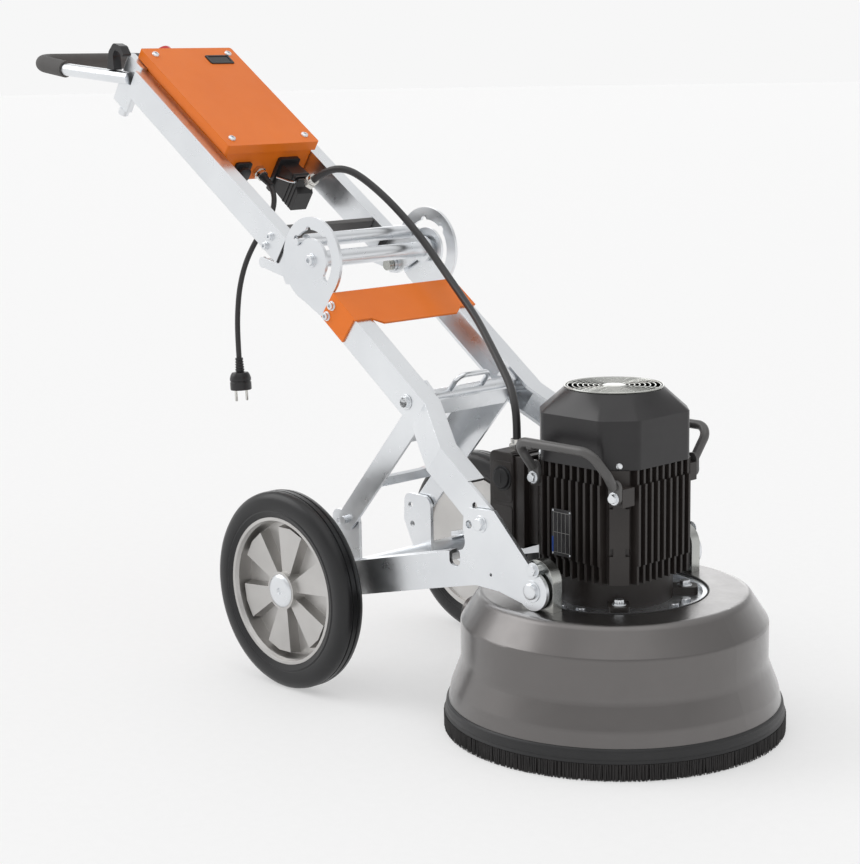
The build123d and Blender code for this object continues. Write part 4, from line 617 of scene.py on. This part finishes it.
def build_pivot_bolts():
    """The bolts that the head and the lower frame turn on."""
    shape = bmesh.new()
    for side in SIDES.values():
        lathe(shape, side_seat(HEAD_PIVOT_X, HEAD_PIVOT_Z, side), HEAD_PIVOT_BOLT)
        domed_head(shape, side_seat(HEAD_PIVOT_X, HEAD_PIVOT_Z, side, HEAD_PIVOT_FACE), 11.5, 6.2)
        lathe(shape, side_seat(FRAME_PIVOT_X, FRAME_PIVOT_Z, side), FRAME_PIVOT_BOLT)
        hex_head(shape, side_seat(FRAME_PIVOT_X, FRAME_PIVOT_Z, side, FRAME_PIVOT_INNER,
                                  FRAME_PIVOT_TURN), 11, 7.4)
        hex_head(shape, side_seat(FRAME_PIVOT_X, FRAME_PIVOT_Z, side, FRAME_PIVOT_OUTER,
                                  FRAME_PIVOT_TURN), 9.5, 5.6, 1.4)
    finish_piece("pivot_bolts_cut", shape, "chassis", "zinc", ["pivot_bolts"])


FOLD_HINGE_X, FOLD_HINGE_Z, FOLD_HINGE_FACE = -510, 659, 126
CROSS_BOLT_RUN, CROSS_BOLT_HEIGHTS, CROSS_BOLT_FACE = -142, (-15, -36), 129
LATCH_PIVOT_X, LATCH_PIVOT_Z, LATCH_PIVOT_FACE = -300, 460, 126.4


def build_frame_fasteners():
    """The bolts of the folding hinge, the cross plate and the latch tube."""
    shape = bmesh.new()
    for side in SIDES.values():
        socket_head(shape, side_seat(FOLD_HINGE_X, FOLD_HINGE_Z, side, FOLD_HINGE_FACE),
                    8.5, 5.6, 1.4)
        for height in CROSS_BOLT_HEIGHTS:
            x, z = rail_place(CROSS_BOLT_RUN, height)
            socket_head(shape, side_seat(x, z, side, CROSS_BOLT_FACE), 5.8, 4.8, 1.2)
        hex_head(shape, side_seat(LATCH_PIVOT_X, LATCH_PIVOT_Z, side, LATCH_PIVOT_FACE, 10),
                 9.2, 4.4, 1.2)
    finish_piece("frame_fasteners_cut", shape, "frame", "zinc", ["frame_fasteners"])


LID_TOP = 23.5
LID_SCREW_RUNS, LID_SCREW_Y = (234, 478), 77.7
LINK_BOLTS, LINK_BOLT_FACE = ((32, -20), (34, -40)), 118


def build_upper_fasteners():
    """The control lid's screws and the bolts of the link plates."""
    shape = bmesh.new()
    for side in SIDES.values():
        for run in LID_SCREW_RUNS:
            screw_head(shape, upper_seat(run, side * LID_SCREW_Y, LID_TOP), 6.5, 4.2)
        for run, height in LINK_BOLTS:
            x, z = upper_place(run, height)
            socket_head(shape, side_seat(x, z, side, LINK_BOLT_FACE), 5.6, 4.6, 1.2)
    finish_piece("upper_fasteners_cut", shape, "handle", "zinc", ["upper_fasteners"])


# ------------------------------------------------------------------ wheels

AXLE_X, AXLE_Z = -482.0, 155.7
# Half of the tyre's section, from the bead to its middle: (radius, distance from the centre line).
TYRE = [(116.4, 194), (124.5, 190.6), (127, 191.6), (129.5, 190.4), (144, 191.2), (151, 194.6),
        (154.6, 199), (155.7, 204.4), (155.7, 206.4), (153.9, 207), (153.9, 208.8),
        (155.7, 209.4)]
TYRE_MIDDLE = 212.85
HUB_CAP = [(0, 231.2), (3.6, 231.2), (5.2, 234), (15, 234.5), (21, 233.8), (24.6, 232.2),
           (26, 230.4), (26, 230), (0, 230)]


def build_wheel_looks(name, side):
    """A moulded tyre with bead, shoulders and grooves, and a turned hub cap."""
    mirrored = [(radius, 2 * TYRE_MIDDLE - height) for radius, height in reversed(TYRE)]
    shape = bmesh.new()
    lathe(shape, side_seat(AXLE_X, AXLE_Z, side), TYRE + mirrored, sides=120, closed=True)
    finish_piece(f"tyre_{name}_tread", shape, f"wheel_{name}", "tyre_rubber",
                 [f"tyre_{name}"], 40)
    shape = bmesh.new()
    lathe(shape, side_seat(AXLE_X, AXLE_Z, side), HUB_CAP, sides=60)
    finish_piece(f"hub_cap_{name}_turned", shape, f"wheel_{name}", "zinc", [f"hub_cap_{name}"])


# ------------------------------------------------------------------ grinding head

CENTRE = (0, 0, 0)
BAND = [(239.6, 24.2), (239.6, 43.9), (243.6, 43.9), (244.7, 43.2), (245.6, 40.4), (245.2, 39.8),
        (246.2, 36), (247.3, 29.6), (246.7, 28.8), (248.2, 24.2)]
BRUSH_CORE = [(242.6, 0.9), (242.6, 23.8), (245.6, 23.8), (245.2, 0.9)]
# Rows of bristles: radius and count. No bristle reaches past the limit.
BRISTLE_ROWS = ((248.8, 460), (247.4, 430), (246.0, 400))
BRISTLE_LIMIT = 248.9
# Heights of a bristle's root and middle, the most that its tip is raised, and its thicknesses.
BRISTLE_ROOT, BRISTLE_MIDDLE, BRISTLE_TIP = 23.9, 12, 0.7
BRISTLE_THICK = (0.75, 0.72, 0.62)
BRISTLE_FLATNESS = 1.5


def build_skirt():
    """The rubber band round the shroud's rim and the bristles under it."""
    shape = bmesh.new()
    lathe(shape, seat(CENTRE), BAND, sides=180, closed=True)
    finish_piece("skirt_band_ribbed", shape, "head", "black_rubber", ["skirt_band"], 50)
    chance = random.Random(11)
    shape = bmesh.new()
    lathe(shape, seat(CENTRE), BRUSH_CORE, 120, closed=True)
    for radius, count in BRISTLE_ROWS:
        for k in range(count):
            angle = math.tau * (k + chance.uniform(-0.3, 0.3)) / count
            lean = chance.uniform(-1.6, 1.6) / radius
            out = min(radius + chance.uniform(-0.4, 0.4), BRISTLE_LIMIT)
            tip = min(out + chance.uniform(-0.9, 0.7), BRISTLE_LIMIT)
            low = BRISTLE_TIP * chance.random()
            places = ((out, angle, BRISTLE_ROOT), (out, angle + lean / 3, BRISTLE_MIDDLE),
                      (tip, angle + lean, low))
            loops = []
            for (reach, turn, height), thick in zip(places, BRISTLE_THICK):
                centre = Vector((reach * math.cos(turn), reach * math.sin(turn), height))
                sideways = Vector((-math.sin(turn), math.cos(turn), 0))
                across = sideways * thick * BRISTLE_FLATNESS
                deep = Vector((math.cos(turn), math.sin(turn), 0)) * thick
                loops.append([shape.verts.new((centre + offset) * MM)
                              for offset in (across, deep, -across, -deep)])
            for upper, lower in zip(loops, loops[1:]):
                for j in range(4):
                    after = (j + 1) % 4
                    shape.faces.new((upper[j], upper[after], lower[after], lower[j]))
            shape.faces.new(loops[0])
            shape.faces.new(loops[-1])
    finish_piece("brush_strands", shape, "head", "bristles", ["brush_skirt"], 50)


SEAL = [(135.2, 195.2), (137.8, 195.2), (137.8, 203.6), (136.5, 204.4), (135.2, 203.6)]


def build_seal():
    """The black seal between the motor plate and the shroud."""
    shape = bmesh.new()
    lathe(shape, seat(CENTRE), SEAL, 120, closed=True)
    finish_piece("shroud_seal", shape, "head", "black_rubber")


# Terminal box, from its lid in: x, width, half length, bottom, top and corner radius.
BOX_LAYERS = ((-155, 48, 73, 250, 396, 9), (-122, 19, 69, 255, 391, 4),
              (-104, 18, 58, 262, 384, 4))
# Raised panels on the box's right end: height of the panel and of its middle.
BOX_PANELS, BOX_PANEL_X, BOX_PANEL_WIDE = ((60, 352), (58, 287)), -152, 39
BOX_END, BOX_PANEL_FACE = 73, 74.2
BOX_CAP_X, BOX_CAP_Z = -151.7, 357.0
BOX_CAP = [(0, 74), (18.6, 74), (18.6, 75.4), (17.4, 76), (15.6, 76), (15.2, 75.2), (14.6, 77.8),
           (13.6, 78.6), (0, 78.8)]


def build_terminal_box():
    """The motor's terminal box: a round-edged lid over a narrower neck, with a screwed cap."""
    shape = bmesh.new()
    right_face = side_seat(0, 0, -1)
    for x, wide, reach, low, high, corner in BOX_LAYERS:
        slab(shape, right_face, rounded(wide, high - low, corner, x, (low + high) / 2),
             -reach, reach, min(2.4, corner / 3))
    for tall, middle in BOX_PANELS:
        slab(shape, right_face, rounded(BOX_PANEL_WIDE, tall, 5, BOX_PANEL_X, middle),
             BOX_END, BOX_PANEL_FACE, 0.5)
    finish_piece("terminal_box_moulded", shape, "head", "motor_paint", ["terminal_box"])
    shape = bmesh.new()
    cap = side_seat(BOX_CAP_X, BOX_CAP_Z, -1)
    lathe(shape, cap, BOX_CAP, 48)
    slab(shape, cap, rounded(3.4, 15, 1.5), 78.4, 79.3, 0.2)
    finish_piece("terminal_cap", shape, "head", "black_rubber")


GRILLE_RINGS = [22.0 + 7.45 * k for k in range(7)]
GRILLE_RIM, GRILLE_HEIGHT = 70.4, 502.0
WIRE, RIM_WIRE, BAR_WIRE = 1.0, 1.3, 1.1
GRILLE_BARS, BAR_HEIGHT, BAR_START, BAR_END = 8, 501.3, 15, 70
GRILLE_CENTRE = [(0, 503.5), (12, 503.3), (16.5, 502.6), (17, 501.2), (0, 500.6)]


def build_grille():
    """A round wire guard over the fan: rings on crossed bars with a centre plate."""
    shape = bmesh.new()
    for radius in GRILLE_RINGS + [GRILLE_RIM]:
        wire = RIM_WIRE if radius == GRILLE_RIM else WIRE
        angles = [math.tau * k / 8 for k in range(8)]
        loop = [(radius + wire * math.cos(angle), GRILLE_HEIGHT + wire * math.sin(angle))
                for angle in angles]
        lathe(shape, seat(CENTRE), loop, 96, closed=True)
    for k in range(GRILLE_BARS):
        angle = math.radians(45 * k + 22.5)
        away = Vector((math.cos(angle), math.sin(angle), 0))
        level = Vector((0, 0, BAR_HEIGHT))
        tube(shape, [away * BAR_START + level, away * BAR_END + level], BAR_WIRE, 8)
    lathe(shape, seat(CENTRE), GRILLE_CENTRE, 48)
    finish_piece("fan_guard_wires", shape, "head", "yellow_zinc", ["fan_grille"], 50)


PLATE_X, PLATE_Z, PLATE_WIDE, PLATE_TALL, PLATE_FACE = -14.5, 300, 38, 68, 96.2
PLATE_THICK, PLATE_LINE, PLATE_MARGIN, PLATE_SCREW_INSET = 0.9, 0.7, 5, 3
# How far the upright lines, the level lines and the band stand off the plate.
UPRIGHT_RELIEF, LEVEL_RELIEF, BAND_RELIEF = 0.12, 0.1, 0.15
COWL_CORNER, COWL_SCREW_Z = 104.6, 405
BOX_LID_X, BOX_SCREW_Y, BOX_SCREW_Z = -179, (-64, 64), (262, 384)


def build_rating_plate(face):
    """A blank rating plate with ruled lines and a coloured band."""
    shape = bmesh.new()
    slab(shape, face, rounded(PLATE_WIDE, PLATE_TALL, 2), PLATE_FACE - PLATE_THICK, PLATE_FACE, 0.2)
    finish_piece("rating_plate_blank", shape, "head", "dark_plastic")
    shape = bmesh.new()
    across = [k * PLATE_WIDE / 5 for k in (-2, -1, 0, 1, 2)]
    for x in across:
        slab(shape, face, rounded(PLATE_LINE, PLATE_TALL - 2 * PLATE_MARGIN, 0, x),
             PLATE_FACE, PLATE_FACE + UPRIGHT_RELIEF)
    for y in (-PLATE_TALL / 2 + PLATE_MARGIN, 0, PLATE_TALL / 2 - PLATE_MARGIN):
        slab(shape, face, rounded(across[-1] - across[0] - PLATE_LINE, PLATE_LINE, 0, 0, y),
             PLATE_FACE, PLATE_FACE + LEVEL_RELIEF)
    finish_piece("rating_plate_lines", shape, "head", finish="plate_line")
    shape = bmesh.new()
    band = rounded(3.4, PLATE_TALL * 0.34, 0.6, -PLATE_WIDE / 2 + 2.4, -PLATE_TALL * 0.27)
    slab(shape, face, band, PLATE_FACE, PLATE_FACE + BAND_RELIEF)
    finish_piece("rating_plate_band", shape, "head", finish="plate_band")


def build_motor_details():
    """The rating plate, and the screws of the plate, the cowl and the terminal box's lid."""
    build_rating_plate(side_seat(PLATE_X, PLATE_Z, -1))
    shape = bmesh.new()
    for sx in (-1, 1):
        for sy in (-1, 1):
            x = PLATE_X + sx * (PLATE_WIDE / 2 - PLATE_SCREW_INSET)
            z = PLATE_Z + sy * (PLATE_TALL / 2 - PLATE_SCREW_INSET)
            screw_head(shape, side_seat(x, z, -1, PLATE_FACE), 1.5, 0.8)
    for k in range(4):
        angle = math.radians(45 + 90 * k)
        away = Vector((math.cos(angle), math.sin(angle), 0))
        domed_head(shape, seat(away * COWL_CORNER + UPRIGHT * COWL_SCREW_Z, away), 4.6, 3.4)
    for y in BOX_SCREW_Y:
        for z in BOX_SCREW_Z:
            screw_head(shape, seat((BOX_LID_X, y, z), (-1, 0, 0)), 4.0, 2.2)
    finish_piece("motor_screws", shape, "head", "zinc")


# ------------------------------------------------------------------ upper arm

RAIL_MIDDLE_Y, RAIL_MIDDLE_HEIGHT = 105.5, -24
SPACER_RUN, SPACER_HEIGHT, SPACER_HALF = 33, -24.5, 21.5
LEVER_X, LEVER_Z, LEVER_BOLT_FACE = -577.0, 630.0, 108.6
COLLAR_FACE, COLLAR_STEP, COLLAR_THICK, COLLAR_EDGE = 102.9, 3.6, 3.0, 0.6


def facing_along(place, degrees):
    """A seat turned about its own Y, so that its Z runs along the arm."""
    return place @ Matrix.Rotation(math.radians(degrees), 4, "Y")


def build_rail_ends():
    """Plugs in the upper rails' lower ends, the bar between the rails, and the lever's bolts."""
    shape = bmesh.new()
    for side in SIDES.values():
        end = facing_along(upper_seat(0, side * RAIL_MIDDLE_Y, RAIL_MIDDLE_HEIGHT), -90)
        slab(shape, end, rounded(47, 24, 2.5), 0.1, 2.6, 0.5)
    finish_piece("rail_end_plugs", shape, "handle", "dark_plastic")
    shape = bmesh.new()
    slab(shape, upper_seat(SPACER_RUN, 0, SPACER_HEIGHT), rounded(9, 185.4, 1),
         -SPACER_HALF, SPACER_HALF, 0.8)
    finish_piece("rail_spacer_plate", shape, "handle", "handle_paint")
    shape = bmesh.new()
    for side in SIDES.values():
        socket_head(shape, side_seat(LEVER_X, LEVER_Z, side, LEVER_BOLT_FACE), 6.6, 5.2, 1.6)
    finish_piece("lever_bolts", shape, "handle", "zinc")
    shape = bmesh.new()
    for side in SIDES.values():
        for k in range(3):
            start = COLLAR_FACE - COLLAR_STEP * k
            lathe(shape, side_seat(LEVER_X, LEVER_Z, side),
                  [(0, start - COLLAR_THICK), (8.6, start - COLLAR_THICK), (9.2, start - 2.4),
                   (9.2, start - COLLAR_EDGE), (8.6, start), (0, start)])
    finish_piece("lever_collars", shape, "handle", "yellow_zinc")


DISPLAY_RUN, DISPLAY_Y = 460.5, 48
# The bezel's section, from its outer foot over its crest to its inner foot.
BEZEL_OUTER, BEZEL_INNER = rounded(25, 50, 3), rounded(17, 42, 1.6)
BEZEL = ((BEZEL_OUTER, 0.05), (BEZEL_OUTER, 1.4), (rounded(23.4, 48.4, 2.4), 2.0),
         (rounded(17.8, 42.8, 1.9), 2.0), (BEZEL_INNER, 1.2), (BEZEL_INNER, 0.05))


def build_display():
    """A raised bezel round the display window, and its glass."""
    shape = bmesh.new()
    place = upper_seat(DISPLAY_RUN, DISPLAY_Y, LID_TOP)
    loops = [[shape.verts.new(place @ Vector((x, y, z))) for x, y in outline]
             for outline, z in BEZEL]
    for low, high in zip(loops, loops[1:] + loops[:1]):
        for k in range(len(low)):
            after = (k + 1) % len(low)
            shape.faces.new((low[k], low[after], high[after], high[k]))
    finish_piece("display_bezel", shape, "handle", "dark_plastic")
    shape = bmesh.new()
    slab(shape, place, rounded(17.2, 42.2, 1.6), 0.05, 0.9)
    finish_piece("display_glass", shape, "handle", "display", ["display_window"])


CONNECTOR_Y, CONNECTOR_HEIGHT = 45, -40
BLANK_CAP_Y, BLANK_CAP_HEIGHT = -48, -32
# Slabs across the connector and the blanking cap: run, y, height, outline, depth down and up, edge.
CONNECTOR_SLABS = [(214, CONNECTOR_Y, CONNECTOR_HEIGHT, (66, 44, 4), -4, 4, 0.8)]
CONNECTOR_SLABS += [(run, CONNECTOR_Y, CONNECTOR_HEIGHT, (58, 36.4, 4), -1.5, 1.5, 0.5)
                    for run in (160, 168, 176)]
CONNECTOR_SLABS += [(216, BLANK_CAP_Y, BLANK_CAP_HEIGHT, (38, 34, 5), -2.4, 2, 0.8),
                    (210, BLANK_CAP_Y, BLANK_CAP_HEIGHT, (27, 23, 9), -6, 6, 1.2)]
# The locking lever's arms: their distance from the connector's middle, and (run, height) points.
LEVER_ARM_Y, LEVER_WIRE = 19.6, 1.7
LEVER_ARM = ((206, -40), (190, -33), (174, -26), (164, -20))


def build_connector():
    """Ribs, a flange and a locking lever on the motor cable's connector, and a blanking cap."""
    shape = bmesh.new()
    for run, y, height, outline, low, high, edge in CONNECTOR_SLABS:
        across_arm = facing_along(upper_seat(run, y, height), 90)
        slab(shape, across_arm, rounded(*outline), low, high, edge)
    finish_piece("connector_details", shape, "handle", "dark_plastic")
    shape = bmesh.new()
    for side in SIDES.values():
        y = CONNECTOR_Y + side * LEVER_ARM_Y
        points = []
        for run, height in LEVER_ARM:
            x, z = upper_place(run, height)
            points.append((x, y, z))
        tube(shape, points, LEVER_WIRE, 10)
    x, z = upper_place(*LEVER_ARM[-1])
    tube(shape, [(x, CONNECTOR_Y - LEVER_ARM_Y, z), (x, CONNECTOR_Y + LEVER_ARM_Y, z)],
         LEVER_WIRE, 10)
    finish_piece("connector_lever", shape, "handle", "zinc")


# ------------------------------------------------------------------ plug and glands

PLUG_TOP, PLUG_AXIS = Vector((-766, -73, 476)), Vector((0.051, 0, -0.9987))
# The boot's ribs, and the plug's section below them from the flange to its face.
BOOT_RIBS, BOOT_START, BOOT_STEP, BOOT_RADIUS = 5, 1.5, 4.3, 6.5
PLUG_SECTION = [(8, 23.5), (13.6, 24.4), (16.2, 28.5), (17.4, 32.6), (17.9, 34.5), (17.9, 38),
                (17.0, 38.8), (17.0, 40.2), (17.9, 41), (17.9, 52.8), (17, 54), (0, 54)]
PIN_SECTION = [(0, 53.5), (2.4, 53.5), (2.4, 71.5), (1.7, 72.9), (0, 73)]
PIN_DIRECTION, PIN_OFFSET = Vector((0.3, 1, 0)), 9.5


def build_plug():
    """The plug on the power lead: a tapered ribbed boot, a flange, a body and two pins."""
    boot = [(0, 0), (6.4, 0)]
    for k in range(BOOT_RIBS):
        start = BOOT_START + BOOT_STEP * k
        wide = BOOT_RADIUS + 1.5 * start / 24
        boot += [(wide, start), (wide, start + 2.4), (wide - 1.0, start + 2.9),
                 (wide - 1.0, start + 3.9)]
    shape = bmesh.new()
    lathe(shape, seat(PLUG_TOP, PLUG_AXIS), boot + PLUG_SECTION, 48)
    finish_piece("power_plug_body", shape, "handle", "dark_plastic", ["power_plug"])
    shape = bmesh.new()
    across = PIN_DIRECTION.normalized()
    for side in (-1, 1):
        pin = seat(PLUG_TOP + across * PIN_OFFSET * side, PLUG_AXIS)
        lathe(shape, pin, PIN_SECTION, 20)
    finish_piece("power_plug_pins", shape, "handle", "nickel")


# The power lead's gland: its foot on the control box, its axis, and the length that it covers.
GLAND_FOOT, GLAND_AXIS = Vector((-778.6, -10, 783.7)), Vector((0.8254, 0, -0.5645))
GLAND_LENGTH = 16
RELIEF_RIBS, RELIEF_STEP, RELIEF_RADIUS, RELIEF_TAPER = 6, 4, 7.2, 0.38


def build_strain_relief():
    """A tapered ribbed sleeve where the power lead leaves the control box."""
    profile = [(0, -1.5), (7.4, -1.5), (7.4, 1)]
    for k in range(RELIEF_RIBS):
        start = 1 + RELIEF_STEP * k
        wide = RELIEF_RADIUS - RELIEF_TAPER * k
        profile += [(wide, start + 0.2), (wide, start + 2.2), (wide - 0.9, start + 2.7),
                    (wide - 0.9, start + 3.7)]
    profile += [(4.95, 25), (4.9, 26.5), (0, 26.5)]
    shape = bmesh.new()
    lathe(shape, seat(GLAND_FOOT + GLAND_AXIS * GLAND_LENGTH, GLAND_AXIS), profile, 36)
    finish_piece("lead_strain_relief", shape, "handle", "black_rubber")


build_plug()
build_power_lead()
build_strain_relief()
build_head_fasteners()
build_pivot_bolts()
build_frame_fasteners()
build_upper_fasteners()
for wheel_name, wheel_side in SIDES.items():
    build_wheel_looks(wheel_name, wheel_side)
build_skirt()
build_seal()
build_terminal_box()
build_grille()
build_motor_details()
build_rail_ends()
build_display()
build_connector()
